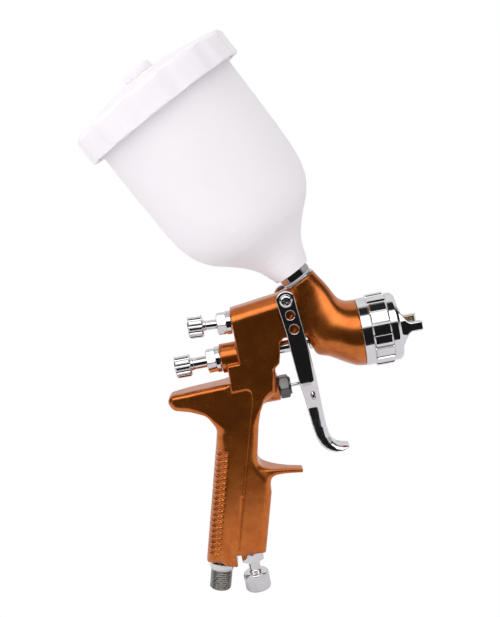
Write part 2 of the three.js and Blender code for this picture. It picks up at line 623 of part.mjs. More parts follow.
function triggerPiece() {
  const { armInner, wall, webTopZ, webThickness, crownRadius } = trigger;
  const crown = arc(pivot.x, pivot.z, crownRadius, 0, 180, 8);
  const side = [...crown, ...triggerRearEdge, ...[...triggerFrontEdge].reverse()];
  // Half widths down the trigger: wide at the arms, narrow at the finger.
  const widths = [[armInner + wall, 45], [armInner + wall, -23], [9, -35], [8.2, -50], [7.4, -75]];
  const front = (inset) => [
    ...widths.map(([half, z]) => [half - inset, z]),
    ...[...widths].reverse().map(([half, z]) => [inset - half, z]),
  ];
  const turnUp = (outline) => inGun(lineAt(0, 0, 90), bar(outline.map(([y, z]) => [-z, y]), 0, 60));
  const outer = plate(side, armInner + wall).intersect(turnUp(front(0)));
  const webLine = triggerFrontEdge
    .filter(([, z]) => z < webTopZ && z > -62)
    .map(([x, z]) => [x - webThickness, z]);
  const hollowSide = [
    [0, 45], [60, 45], [60, webTopZ], [triggerFrontAt(webTopZ) - webThickness, webTopZ], ...webLine,
    [36, -64.6], [40.6, -66.3], [40.6, -80], [0, -80],
  ];
  const hollow = plate(hollowSide, 40).intersect(turnUp(front(wall)));
  const holes = [[pivot.x, pivot.z, boreClear(pivot.screwRadius)], [22.2, 20.3, 2.6], [23, 11.8, 2.7]];
  const drills = holes.map(([x, z, radius]) => plate(arc(x, z, radius, 0, 330, 11), 30));
  const slot = solid(new THREE.BoxGeometry(12, 5, 8).translate(30, 0, 1.8));
  return cut(outer, hollow, slot, ...drills);
}

function addTrigger() {
  add(gun, "trigger", triggerPiece(), chromePlate);
  const sleeveHalf = block.halfWidth - FIT;
  const sleeveLine = pivotLine(1);
  gun.add(sleeveLine);
  const sleeve = tube(boreClear(pivot.screwRadius), pivot.sleeveRadius, -sleeveHalf, sleeveHalf);
  add(sleeveLine, "pivot_sleeve", sleeve, brass);
  const outside = trigger.armInner + trigger.wall + FIT;
  for (const [name, side] of [["pivot_screw_right", 1], ["pivot_screw_left", -1]]) {
    const line = pivotLine(side);
    gun.add(line);
    const { screwRadius, headRadius, headLength } = pivot;
    const profile = [[0, 1], [screwRadius, 1], [screwRadius, outside], [headRadius, outside],
      [headRadius, outside + headLength * 0.5], [headRadius * 0.6, outside + headLength],
      [0, outside + headLength]];
    const slots = [[4.4, 0.9], [0.9, 4.4]].map(([x, y]) =>
      solid(new THREE.BoxGeometry(x, y, 2.4).translate(0, 0, outside + headLength)));
    add(line, name, cut(turned(profile, SMALL_ROUND), ...slots), chromePlate);
  }
}

// ---------- spray head ----------
function addHead() {
  const line = needleLine;
  const { shankRadius, shankLength, flangeRadius, flangeLength, tipRadius } = nozzle;
  const tipX = nozzleTipX;
  const seatX = spigotEndX - 3.2 + FIT;
  const flangeEnd = seatX + flangeLength;
  const outside = [
    [shankRadius, seatX - shankLength], [shankRadius, seatX], [flangeRadius, seatX],
    [flangeRadius, flangeEnd],
    [5.4, flangeEnd + 1], [3.4, tipX - 8], [tipRadius, tipX - 4.5], [tipRadius, tipX],
  ];
  const inside = [[1, tipX], [1, tipX - 1.4], [2.1, tipX - 6], [2.9, seatX], [2.9, seatX - shankLength]];
  add(line, "fluid_nozzle", turned([...outside, ...inside], ROUND, true), brass);
  const sealFrom = spigotEndX + FIT;
  const sealTo = sealFrom + 0.8;
  const sealInner = spigotRadius - head.wall + 0.4;
  const discRadius = spigotRadius - distributor.edgeInset;
  add(line, "distributor_seal", tube(sealInner, discRadius, sealFrom, sealTo, ROUND), sealPlastic);
  const discFrom = sealTo + FIT;
  const disc = tube(distributor.innerRadius, discRadius, discFrom, discFrom + distributor.thickness, ROUND);
  const holeCircle = (distributor.innerRadius + discRadius) / 2;
  const holes = polygon(distributor.holes, holeCircle)
    .map(([x, y]) => rod(distributor.holeRadius, 60, 80, 8).translate([x, y, 0]));
  add(line, "air_distributor", cut(disc, ...holes), brass);
  addAirCap();
  addRing();
}

function addAirCap() {
  const { flangeLength, holeRadius } = airCap;
  const flangeEnd = capBackX + flangeLength;
  const bodyRadius = capBodyRadius;
  const faceX = capFaceX;
  const shell = [
    [capFlangeRadius, capBackX], [capFlangeRadius, flangeEnd], [bodyRadius, flangeEnd],
    [bodyRadius, faceX - 2.6], [bodyRadius - 7, faceX], [holeRadius, faceX], [holeRadius, faceX - 2],
    [bodyRadius - 5.5, faceX - 4], [bodyRadius - 2.4, faceX - 6.5], [bodyRadius - 1.4, capBackX],
  ];
  const dome = turned(shell, LARGE_ROUND, true);
  const { inset, width, height, length } = capHorn;
  const offset = bodyRadius - inset;
  const tipX = faceX + length;
  const horns = [1, -1].map((side) => {
    const outline = [
      [offset - width / 2 + 1, tipX], [offset + width / 2 - 1, tipX],
      [offset + width / 2 - 0.4, tipX - 0.8],
      [offset + width / 2, faceX - 2.2], [offset + width / 2 - 0.6, faceX - 4.5],
      [offset - width / 2, faceX - 4.5], [offset - width / 2, tipX - 2],
    ];
    return bar(outline.map(([y, x]) => [side * y, x]), -height / 2, height / 2);
  });
  // The bars stand along local +Z when drawn, so they are laid over onto the line's axis.
  const laid = horns.map((made) => solid(geometryOf(made).applyMatrix4(
    new THREE.Matrix4().makeBasis(
      new THREE.Vector3(0, 1, 0), new THREE.Vector3(0, 0, 1), new THREE.Vector3(1, 0, 0),
    ))));
  const jets = [];
  for (const side of [1, -1]) {
    for (const [x, lean] of [[tipX - 4, 50], [tipX - 7, 58]]) {
      const jet = geometryOf(rod(0.8, -4, 2.2, 8));
      jet.rotateX(side * lean * DEG).translate(0, side * (offset - width / 2), x);
      jets.push(solid(jet));
    }
  }
  add(needleLine, "air_cap", cut(join(dome, ...laid), ...jets), chromePlate);
}

function addRing() {
  const { gripProud, rearLand, gripLength, length, lands, grooveDepth } = ring;
  const rearX = head.frontX + FIT;
  const frontX = rearX + length;
  const threadBore = boreClear(spigotRadius);
  const capBore = boreClear(capFlangeRadius);
  const noseBore = boreClear(capBodyRadius);
  const lipX = capBackX + airCap.flangeLength + FIT;
  const radius = ringRadius;
  const profile = [
    [threadBore, rearX], [radius, rearX], [radius, frontX - 1.6], [radius - 1.6, frontX - 0.4],
    [noseBore, frontX],
    [noseBore, lipX], [capBore, lipX], [capBore, capBackX - 1.6], [threadBore, capBackX - 2.6],
  ];
  const gripFrom = rearX + rearLand;
  const outline = fluted(radius + gripProud, grooveDepth, lands, 0.74);
  const inside = rod(radius - grooveDepth, rearX, frontX, LARGE_ROUND);
  const grip = cut(bar(outline, gripFrom, gripFrom + gripLength), inside);
  add(needleLine, "retaining_ring", join(turned(profile, LARGE_ROUND, true), grip), chromePlate);
  const clip = tube(spigotRadius + 0.2, capBore - FIT, capBackX - 1.2, capBackX - FIT, ROUND);
  add(needleLine, "ring_clip", clip, springSteel);
}

// ---------- cup ----------
function addCup() {
  const line = cupLine;
  const flangeTop = FIT + adapter.flangeThickness;
  const threadTop = flangeTop + adapter.threadLength;
  const lower = neck.boreRadius - FIT;
  const adapterPiece = turned([
    [lower, -neck.boreDepth], [lower, FIT], [adapter.flangeRadius, FIT], [adapter.flangeRadius, flangeTop],
    [adapter.threadRadius, flangeTop], [adapter.threadRadius, threadTop], [neck.fluidRadius, threadTop],
    [neck.fluidRadius, -neck.boreDepth],
  ], ROUND, true);
  add(line, "neck_adapter", adapterPiece, chromePlate);
  const gasketTop = gasketFrom + cupGasket.thickness;
  add(
    line, "cup_gasket", tube(boreClear(adapter.threadRadius), 9, gasketFrom, gasketTop, ROUND),
    sealPlastic,
  );
  const hexTop = hexFrom + cupHex.length;
  const insertTop = hexTop + cupHex.sleeveLength;
  const insert = join(
    bar(polygon(6, cupHex.corner), hexFrom, hexTop),
    rod(cupHex.sleeveRadius, hexTop - 0.01, insertTop, ROUND),
  );
  add(
    line, "cup_thread_insert", cut(insert, rod(boreClear(adapter.threadRadius), 0, 30, ROUND)),
    chromePlate,
  );
  add(line, "cup", cupShell(hexTop + FIT, insertTop + FIT), milkyPlastic);
  const strainerFrom = insertTop + FIT + 2.6;
  const { flangeRadius, baseRadius, topRadius, height, wall } = strainer;
  const thimble = [
    [baseRadius - wall, strainerFrom], [flangeRadius, strainerFrom], [flangeRadius, strainerFrom + 1],
    [baseRadius, strainerFrom + 1.2], [topRadius, strainerFrom + height],
    [topRadius - wall, strainerFrom + height],
  ];
  add(line, "paint_strainer", turned(thimble, SMALL_ROUND, true), sealPlastic);
}

// The cup's outer curve as [radius, height above the neck]: a straight side over a round shoulder and a
// funnel.
const cupCurve = [
  [13.2, 12], [15.2, 17.5], [18.5, 22.5], [22.5, 27], [29, 33], [33.5, 37], [37.5, 42], [40.3, 47],
  [42.5, 53],
  [43.6, 59], [44.3, 67], [44.7, 78.5], [45, 101],
].map(([radius, height]) => [(radius * cup.radius) / 45, height]);

function cupShell(bottom, shelf) {
  const { radius, wall, mouthRadius, outletRadius } = cup;
  const boreRadius = boreClear(cupHex.sleeveRadius);
  const outside = [[boreRadius, bottom], [mouthRadius, bottom], ...cupCurve, [radius, rimTop]];
  const within = ([r, height]) => [r - wall * 1.05, height + wall * 0.5];
  const inner = cupCurve.filter(([, height]) => height > shelf + 3).map(within);
  const inside = [[radius - wall, rimTop], ...inner.reverse(),
    [outletRadius, shelf + 1.6], [outletRadius, shelf], [boreRadius, shelf]];
  return turned([...outside, ...inside], LARGE_ROUND, true);
}

function addLid() {
  const { grooveDepth, lobes, height, domeRise, wall } = lid;
  const radius = lidRadius;
  const bottom = lidBottom;
  const top = bottom + height;
  const innerRadius = boreClear(cup.radius);
  const ceiling = rimTop + 1 + 2 * FIT;
  const ventRadius = boreClear(vent.plugRadius);
  const skirt = bar(fluted(radius, grooveDepth, lobes, 0.7), bottom, top - 1.5);
  const crown = turned([
    [ventRadius, ceiling + domeRise - 1.6], [ventRadius, top + domeRise], [22, top + domeRise - 0.4],
    [radius - 8, top + 0.8],
    [radius - 2.5, top], [radius - 1.4, top - 1.6], [radius - 3, ceiling - 2], [innerRadius, ceiling - 2],
    [innerRadius, ceiling], [30, ceiling + 1], [12, ceiling + domeRise - 1.6],
  ], LARGE_ROUND, true);
  const hollow = join(
    rod(innerRadius, bottom - 1, ceiling, LARGE_ROUND),
    tube(innerRadius + wall, radius - grooveDepth - wall, bottom - 1, ceiling - 3, LARGE_ROUND),
  );
  const above = rod(innerRadius + 0.5, ceiling - 0.5, top + 10, LARGE_ROUND);
  add(cupLine, "lid", join(cut(skirt, hollow, above), crown), milkyPlastic);
  const gasket = tube(cup.radius - cup.wall, cup.radius, rimTop + FIT, rimTop + FIT + 1, LARGE_ROUND);
  add(cupLine, "lid_gasket", gasket, sealPlastic);
  const ventFrom = top + domeRise + FIT;
  const ventCap = turned([
    [0, ventFrom - vent.plugLength], [vent.plugRadius, ventFrom - vent.plugLength],
    [vent.plugRadius, ventFrom],
    [vent.radius, ventFrom], [vent.radius, ventFrom + vent.height - 0.8],
    [vent.radius - 0.8, ventFrom + vent.height],
    [0, ventFrom + vent.height],
  ], ROUND);
  add(cupLine, "vent_cap", ventCap, milkyPlastic);
}

add(gun, "gun_body", gunBody(), copperPaint);
addNeedleLine();
addFanValve();
addAirControl();
addAirValve();
addInlet();
addTrigger();
addHead();
addCup();
addLid();

export default gun;
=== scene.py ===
"""A gravity-feed spray gun: copper-painted casting, chromed fittings and a milky paint cup.

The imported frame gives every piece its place. Shapes are worked out in millimetres, in the frame of the line
that a piece stands on, and are put into the mesh in metres.
"""

import math

import bpy
import numpy as np
from bpy.props import FloatProperty, FloatVectorProperty, IntProperty, PointerProperty
from mathutils import Matrix, Vector


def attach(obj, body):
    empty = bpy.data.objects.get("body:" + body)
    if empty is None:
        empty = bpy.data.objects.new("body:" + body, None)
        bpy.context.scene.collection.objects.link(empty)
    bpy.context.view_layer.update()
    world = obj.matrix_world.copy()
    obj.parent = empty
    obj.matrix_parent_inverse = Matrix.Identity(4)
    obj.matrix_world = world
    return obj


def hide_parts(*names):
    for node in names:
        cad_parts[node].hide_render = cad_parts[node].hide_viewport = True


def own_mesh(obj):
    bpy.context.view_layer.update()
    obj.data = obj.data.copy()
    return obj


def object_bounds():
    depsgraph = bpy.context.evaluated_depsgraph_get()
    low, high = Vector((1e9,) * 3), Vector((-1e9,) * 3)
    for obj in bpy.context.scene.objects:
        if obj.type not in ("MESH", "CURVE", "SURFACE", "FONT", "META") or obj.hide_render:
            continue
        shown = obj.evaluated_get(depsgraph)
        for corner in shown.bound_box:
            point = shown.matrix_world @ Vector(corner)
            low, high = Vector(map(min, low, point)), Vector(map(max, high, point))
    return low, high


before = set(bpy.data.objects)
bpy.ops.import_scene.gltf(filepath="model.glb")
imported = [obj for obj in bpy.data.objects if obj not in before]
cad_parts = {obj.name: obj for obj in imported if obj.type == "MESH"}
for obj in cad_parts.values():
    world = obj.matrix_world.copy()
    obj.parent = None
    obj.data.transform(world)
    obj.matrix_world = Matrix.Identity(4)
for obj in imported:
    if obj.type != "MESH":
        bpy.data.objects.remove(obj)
cad_low, cad_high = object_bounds()

bl_info = {
    "name": "Gravity-feed spray gun",
    "version": (1, 0, 0),
    "blender": (4, 5, 0),
    "location": "3D View > Sidebar > Spray gun",
    "description": "Builds the looks of a gravity-feed spray gun around its packed frame",
    "category": "Object",
}

MM = 0.001
TURN = 2 * math.pi
FORWARD = (1, 0, 0)
BACK = (-1, 0, 0)
UP = (0, 0, 1)
DOWN = (0, 0, -1)
ACROSS = (0, 1, 0)
PIPE_PITCH = 1.337  # of the pipe threads at the inlet and under the cup, in millimetres
ARC_SHARE = 0.48  # most of a side that the arc at one of its ends takes up
KEYS_PER_MM = 1000  # points whose places round to the same key are one point
HEXAGON_CORNER = 0.985  # share of its radius that a hexagon's rounded corner keeps
THREAD_POWER = 1.2  # above 1, a thread's roots are broader than its crests
LEAST_SLOPE = 0.5  # of a field, for the last steps onto its surface


# ---------- sizes, colours and studio ----------
def length_property(name, description, default, low, high):
    """A length property whose default and limits are given in millimetres."""
    return FloatProperty(name=name, description=description, default=default * MM, min=low * MM, max=high * MM,
                         unit="LENGTH", precision=5)


def colour_property(name, description, default):
    """A colour property."""
    return FloatVectorProperty(name=name, description=description, default=default, size=3,
                               subtype="COLOR", min=0, max=1)


def angle_property(name, description, degrees):
    """An angle property whose default is given in degrees."""
    return FloatProperty(name=name, description=description, default=math.radians(degrees), subtype="ANGLE")


class SprayGunSizes(bpy.types.PropertyGroup):
    """Sizes that can change without the frame changing."""

    casting_grid: length_property(
        "Casting grid", "Spacing of the samples that the casting is meshed from", 0.55, 0.3, 2)
    chrome_grid: length_property(
        "Chrome grid", "Spacing of the samples that the trigger and the air cap are meshed from", 0.38, 0.25, 2)
    rib_pitch: length_property("Rib pitch", "From one rib of the grip to the next", 3.42, 2, 8)
    rib_depth: length_property("Rib depth", "Depth of the grooves between the ribs of the grip", 0.9, 0, 1.5)
    panel_step: length_property(
        "Panel step", "How far the grip's side panel lies below the block's side", 0.6, 0, 1.5)
    cup_wall: length_property("Cup wall", "Thickness of the paint cup's wall", 1.8, 1, 3)
    knob_flutes: IntProperty(
        name="Knob flutes", description="Flutes round each small knob", default=12, min=6, max=24)
    ring_lands: IntProperty(
        name="Ring lands", description="Broad lands round the retaining ring", default=18, min=8, max=32)
    lid_lobes: IntProperty(
        name="Lid lobes", description="Finger grips round the lid's skirt", default=12, min=6, max=24)


class SprayGunColours(bpy.types.PropertyGroup):
    """Base colours of the finishes."""

    copper: colour_property("Copper paint", "Satin metallic paint of the casting", (0.64, 0.178, 0.024))
    copper_deep: colour_property("Deep copper", "Paint where it lies thicker", (0.54, 0.128, 0.014))
    chrome: colour_property("Chrome", "Bright plating of the fittings", (0.80, 0.80, 0.815))
    nickel: colour_property("Dark nickel", "Black nickel of the air valve's nut", (0.16, 0.16, 0.155))
    steel: colour_property("Grey steel", "Bare steel of the inlet's thread", (0.34, 0.33, 0.31))
    brass: colour_property("Brass", "Nozzle, jets and valve parts", (0.62, 0.46, 0.24))
    milk: colour_property("Milky plastic", "Polypropylene of the cup and the lid", (0.90, 0.865, 0.90))
    seal: colour_property("Seal plastic", "White seals and gaskets", (0.78, 0.76, 0.70))
    rubber: colour_property("Black rubber", "Seals of the small valves", (0.02, 0.02, 0.02))


class SprayGunStudio(bpy.types.PropertyGroup):
    """Camera and light."""

    distance: length_property("Camera distance", "From the gun to the camera", 670, 200, 3000)
    elevation: angle_property("Camera elevation", "Height of the camera above the gun's middle", 9.4)
    azimuth: angle_property("Camera azimuth", "Turn of the camera round the gun", -0.9)
    nose_up: angle_property("Nose up", "How far the gun's nose points up in the camera's view", 10.8)
    lens: FloatProperty(name="Lens", description="Focal length in millimetres", default=66.5, min=20, max=200)
    target_height: length_property("Target height", "Height that the camera looks at", 26.3, -200, 200)
    floor_gap: length_property("Floor gap", "From the gun's lowest point to the floor", 3, 0, 1000)
    floor_front: length_property("Floor front", "How far the floor reaches in front of the gun", 202, 50, 2000)
    brightness: FloatProperty(name="Brightness", description="Strength of the studio's light",
                              default=1.0, min=0, max=10)


def size(name):
    """A size from the panel: a length in millimetres, or a count."""
    value = getattr(bpy.context.scene.spray_gun_sizes, name)
    return value if isinstance(value, int) else value / MM


# ---------- lines and outlines ----------
def unit(vector):
    """The vector at length 1."""
    vector = np.asarray(vector, float)
    return vector / np.linalg.norm(vector)


def unit_rows(vectors):
    """Every row's vector at length 1."""
    return vectors / np.linalg.norm(vectors, axis=-1, keepdims=True)


def basis_of(direction):
    """Columns: a line's own x, y and z in the gun's frame. Its y is the gun's y, or the gun's x on a line
    that runs sideways."""
    along = unit(direction)
    across = np.array([0.0, 1.0, 0.0]) if abs(along[1]) < 0.9 else np.array([1.0, 0.0, 0.0])
    across = unit(across - along * (across @ along))
    return np.column_stack([np.cross(across, along), across, along])


class Line:
    """The line through a CAD node's middle, with height 0 at the node's low end, in millimetres."""

    def __init__(self, node, direction):
        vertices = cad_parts[node].data.vertices
        points = np.empty(len(vertices) * 3, np.float32)
        vertices.foreach_get("co", points)
        self.basis = basis_of(direction)
        local = points.reshape(-1, 3).astype(float) / MM @ self.basis
        low, high = local.min(0), local.max(0)
        middle = (low + high) / 2
        self.origin = self.basis @ np.array([middle[0], middle[1], low[2]])
        self.length = high[2] - low[2]
        self.radius = (high - low)[:2].max() / 2

    def place(self, points):
        """Points of the line's own frame in the gun's frame."""
        return self.origin + points @ self.basis.T


def filleted(corners, closed=False, steps=4, margin=0.15):
    """An outline whose corners (u, v, radius) become arcs that touch both of their sides. A point is put
    a margin away from each end of a straight stretch, so that the stretch shades flat."""
    points = np.array([corner[:2] for corner in corners], float)
    count = len(points)
    runs = []
    for i, corner in enumerate(corners):
        radius = corner[2] if len(corner) > 2 else 0.0
        if radius <= 0 or (not closed and i in (0, count - 1)):
            runs.append(points[i:i + 1])
            continue
        back, ahead = points[i - 1] - points[i], points[(i + 1) % count] - points[i]
        back_length, ahead_length = np.linalg.norm(back), np.linalg.norm(ahead)
        back, ahead = back / back_length, ahead / ahead_length
        half = math.acos(np.clip(back @ ahead, -1, 1)) / 2
        reach = min(radius / math.tan(half), ARC_SHARE * back_length, ARC_SHARE * ahead_length)
        centre = points[i] + unit(back + ahead) * reach / math.cos(half)
        swing = math.pi - 2 * half
        t = np.linspace(0, 1, steps + 1)[:, None]
        start, end = points[i] + back * reach - centre, points[i] + ahead * reach - centre
        runs.append(centre + (np.sin((1 - t) * swing) * start + np.sin(t * swing) * end) / math.sin(swing))
    outline = np.vstack(runs)
    following = np.roll(outline, -1, axis=0)
    stretch = np.linalg.norm(following - outline, axis=1)
    if not closed:
        stretch[-1] = 0
    filled = []
    for point, after, length in zip(outline, following, stretch):
        filled.append(point)
        if length > 4 * margin:
            filled += [point + (after - point) * margin / length, after - (after - point) * margin / length]
    return np.array(filled)


def denser(outline, step, low=-1e9, high=1e9):
    """The outline with its stretches between the heights low and high cut into pieces no longer than step."""
    filled = []
    for point, after in zip(outline[:-1], outline[1:]):
        inside = low - 1e-6 <= min(point[1], after[1]) and max(point[1], after[1]) <= high + 1e-6
        parts = max(1, math.ceil(np.linalg.norm(after - point) / step)) if inside else 1
        filled += [point + (after - point) * i / parts for i in range(parts)]
    return np.array([*filled, outline[-1]])


def closed_outline(corners, step, low=-1e9, high=1e9, steps=4):
    """A closed outline with filleted corners, cut between two heights into pieces no longer than step."""
    outline = filleted(corners, closed=True, steps=steps)
    return denser(np.vstack([outline, outline[:1]]), step, low, high)[:-1]


# ---------- surfaces ----------
def rows_joined(points, closed=False):
    """Points in rows round a piece, as one list, with the quads between neighbouring rows."""
    index = np.arange(points.shape[0] * points.shape[1]).reshape(points.shape[:2])
    if closed:
        index = np.vstack([index, index[:1]])
    side = np.roll(index, -1, axis=1)
    faces = np.stack([index[:-1], side[:-1], side[1:], index[1:]], axis=-1).reshape(-1, 4)
    return points.reshape(-1, 3), faces


def turned(line, profile, sides=96, closed=False, shape=None):
    """Each profile point (radius, height) is carried round the line: at angle a it stands at
    (radius cos a, radius sin a, height). shape(angle, radius, height) gives back a new radius and height
    where flats, flutes or a recess are cut. The profile ends on the axis, or is closed into a ring."""
    angle = (np.arange(sides) / sides * TURN)[None, :]
    radius = np.repeat(profile[:, :1], sides, axis=1)
    height = np.repeat(profile[:, 1:2], sides, axis=1)
    if shape:
        radius, height = shape(angle, radius, height)
    points = np.stack([radius * np.cos(angle), radius * np.sin(angle), height], axis=-1)
    return rows_joined(line.place(points), closed)


def carried(path, outline, across, sizes_along):
    """An outline (u, v) carried along a path: at each path point it stands square to the path, with u along
    the cross product of across and the path's direction, and is scaled by that point's size. A size of
    zero closes an end."""
    tangent = unit_rows(np.gradient(path, axis=0))
    normal = unit_rows(np.cross(across, tangent))
    binormal = np.cross(tangent, normal)
    section = outline[None] * sizes_along[:, None, None]
    return rows_joined(path[:, None] + section[..., :1] * normal[:, None] + section[..., 1:] * binormal[:, None])


def merged(points, faces):
    """Points closer than a thousandth of a millimetre become one, and faces that lose a side become
    triangles or go."""
    keys = np.round(points * KEYS_PER_MM).astype(np.int64)
    _, first, place = np.unique(keys, axis=0, return_index=True, return_inverse=True)
    points, faces = points[first], place.reshape(-1)[faces]
    repeated = faces == np.roll(faces, -1, axis=1)
    quads = faces[~repeated.any(axis=1)]
    once = repeated.sum(axis=1) == 1
    triangles = faces[once][~repeated[once]].reshape(-1, 3)
    return points, quads, triangles


def outward(points, quads, triangles):
    """Faces turned round if the volume that they close is negative."""
    def volume(a, b, c):
        """Six times the volume under triangles abc."""
        return np.einsum("ij,ij->", points[a], np.cross(points[b], points[c]))

    total = volume(*quads[:, [0, 1, 2]].T) + volume(*quads[:, [0, 2, 3]].T) if len(quads) else 0
    total += volume(*triangles.T) if len(triangles) else 0
    return (quads, triangles) if total > 0 else (quads[:, ::-1], triangles[:, ::-1])


def make(name, surface, finish, body, *stands_for, crease=35):
    """The piece's object: points in metres, faces outwards, smooth but for edges sharper than crease degrees."""
    points, quads, triangles = merged(*surface)
    quads, triangles = outward(points, quads, triangles)
    mesh = bpy.data.meshes.new(name)
    mesh.from_pydata(points * MM, [], quads.tolist() + triangles.tolist())
    mesh.update()
    mesh.shade_smooth()
    mesh.set_sharp_from_angle(angle=math.radians(crease))
    mesh.materials.append(finishes[finish])
    obj = bpy.data.objects.new(name, mesh)
    bpy.context.scene.collection.objects.link(obj)
    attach(obj, body)
    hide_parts(*stands_for)
    return obj


# ---------- cuts into turned pieces ----------
def hexagon(corner, low, high, turn=0.0):
    """Flats: between two heights the radius is held to that of a hexagon with slightly rounded corners."""
    flat = corner * math.cos(math.pi / 6)

    def shape(angle, radius, height):
        off = (angle + turn + math.pi / 6) % (math.pi / 3) - math.pi / 6
        limit = np.minimum(flat / np.cos(off), corner * HEXAGON_CORNER)
        here = (height > low) & (height < high)
        return np.where(here, np.minimum(radius, limit), radius), height

    return shape


def fluted(limit, depth, count, low, high, sharp=3.0, share=0.5):
    """Flutes: between two heights the radius is held to limit less a groove, whose depth falls from the
    middle of the groove to its sides as a power of a cosine. share is the groove's part of the pitch."""
    def shape(angle, radius, height):
        phase = (angle * count / TURN) % 1 - 0.5
        groove = np.cos(np.clip(phase / share, -0.5, 0.5) * math.pi) ** (1 / sharp)
        here = (height > low) & (height < high)
        held = np.minimum(radius, limit - depth * groove)
        return np.where(here, held, radius), height

    return shape


def threaded(core, depth, pitch, low, high, fade=1.0):
    """A thread: the radius is held to a wave that climbs one pitch each turn, and fades out at both ends."""
    def shape(angle, radius, height):
        phase = (height / pitch - angle / TURN) % 1
        wave = np.abs(2 * phase - 1) ** THREAD_POWER
        ends = np.clip((height - low) / fade, 0, 1) * np.clip((high - height) / fade, 0, 1)
        here = (height >= low) & (height <= high) & (radius > core - 1.5 * depth)
        return np.where(here, np.minimum(radius, core - depth * wave * ends), radius), height

    return shape


# ---------- fields ----------
# A field is a distance in millimetres on a regular grid of samples, negative inside the solid.
def samples(low, high, step):
    """Sample places along x, y and z, shaped so that they spread over one another."""
    x, y, z = (np.arange(a, b + step, step, dtype=np.float32) for a, b in zip(low, high))
    return x[:, None, None], y[None, :, None], z[None, None, :]


def side_gap(x, z, a, b):
    """Squared distance from [x, z] to the straight side from a to b."""
    ex, ez = b[0] - a[0], b[1] - a[1]
    t = np.clip(((x - a[0]) * ex + (z - a[1]) * ez) / (ex * ex + ez * ez), 0, 1)
    return (x - a[0] - t * ex) ** 2 + (z - a[1] - t * ez) ** 2


def outline_field(x, z, outline):
    """Signed distance to a closed outline in the side plane: to the nearest of its sides, and negative
    where a line along x crosses the outline an odd number of times."""
    nearest = np.full(np.broadcast(x, z).shape, 1e9, np.float32)
    inside = np.zeros(nearest.shape, bool)
    for (ax, az), (bx, bz) in zip(outline, np.roll(outline, -1, axis=0)):
        ex, ez = bx - ax, bz - az
        if ex * ex + ez * ez < 1e-12:
            continue
        nearest = np.minimum(nearest, side_gap(x, z, (ax, az), (bx, bz)))
        if ez:
            inside ^= ((az > z) != (bz > z)) & (x < (z - az) * (ex / ez) + ax)
    return np.where(inside, -1, 1) * np.sqrt(nearest)


def edge_field(x, z, edge):
    """Signed distance to an open edge in the side plane, negative on its left hand as it is followed."""
    nearest = np.full(np.broadcast(x, z).shape, 1e9, np.float32)
    signed = np.zeros(nearest.shape, np.float32)
    for (ax, az), (bx, bz) in zip(edge[:-1], edge[1:]):
        gap = side_gap(x, z, (ax, az), (bx, bz))
        side = np.sign((bx - ax) * (z - az) - (bz - az) * (x - ax))
        signed = np.where(gap < nearest, -side * np.sqrt(gap), signed)
        nearest = np.minimum(nearest, gap)
    return signed


def rounded_meet(a, b, radius):
    """Where two faces meet, their shared edge is rounded to the radius."""
    u, v = a + radius, b + radius
    return np.sqrt(np.maximum(u, 0) ** 2 + np.maximum(v, 0) ** 2) + np.minimum(np.maximum(u, v), 0) - radius


def blended(a, b, reach):
    """Union with a fillet that begins where the two distances differ by less than reach."""
    near = np.maximum(reach - np.abs(a - b), 0)
    return np.minimum(a, b) - near * near / (4 * reach)


def pared(a, b, reach):
    """Intersection with a softened edge."""
    return -blended(-a, -b, reach)


def rod_field(x, y, z, start, direction, radius, length, edge=0.3):
    """A straight rod with rounded ends, from its start for its length."""
    d = unit(direction)
    along = (x - start[0]) * d[0] + (y - start[1]) * d[1] + (z - start[2]) * d[2]
    square = (x - start[0]) ** 2 + (y - start[1]) ** 2 + (z - start[2]) ** 2 - along**2
    return rounded_meet(np.sqrt(np.maximum(square, 0)) - radius, np.abs(along - length / 2) - length / 2, edge)


def smooth_step(value, low, high):
    """Rises from 0 at low to 1 at high, level at both ends."""
    t = np.clip((value - low) / (high - low), 0, 1)
    return t * t * (3 - 2 * t)


def read_field(field, low, step, points):
    """The field and its slope at free points, from the eight samples round each point."""
    place = np.clip((points - low) / step, 0, np.array(field.shape) - 1.001)
    cell = place.astype(int)
    f = place - cell
    corner = {(i, j, k): field[cell[:, 0] + i, cell[:, 1] + j, cell[:, 2] + k]
              for i in (0, 1) for j in (0, 1) for k in (0, 1)}
    fx, fy, fz = f.T

    def mix(a, b, t):
        return a + (b - a) * t

    front = [mix(corner[i, 0, 0], corner[i, 0, 1], fz) for i in (0, 1)]
    rear = [mix(corner[i, 1, 0], corner[i, 1, 1], fz) for i in (0, 1)]
    sides = [mix(front[i], rear[i], fy) for i in (0, 1)]
    value = mix(sides[0], sides[1], fx)
    slope_x = sides[1] - sides[0]
    slope_y = mix(rear[0] - front[0], rear[1] - front[1], fx)
    near = mix(corner[0, 0, 1] - corner[0, 0, 0], corner[0, 1, 1] - corner[0, 1, 0], fy)
    far = mix(corner[1, 0, 1] - corner[1, 0, 0], corner[1, 1, 1] - corner[1, 1, 0], fy)
    return value, np.stack([slope_x, slope_y, mix(near, far, fx)], axis=1) / step


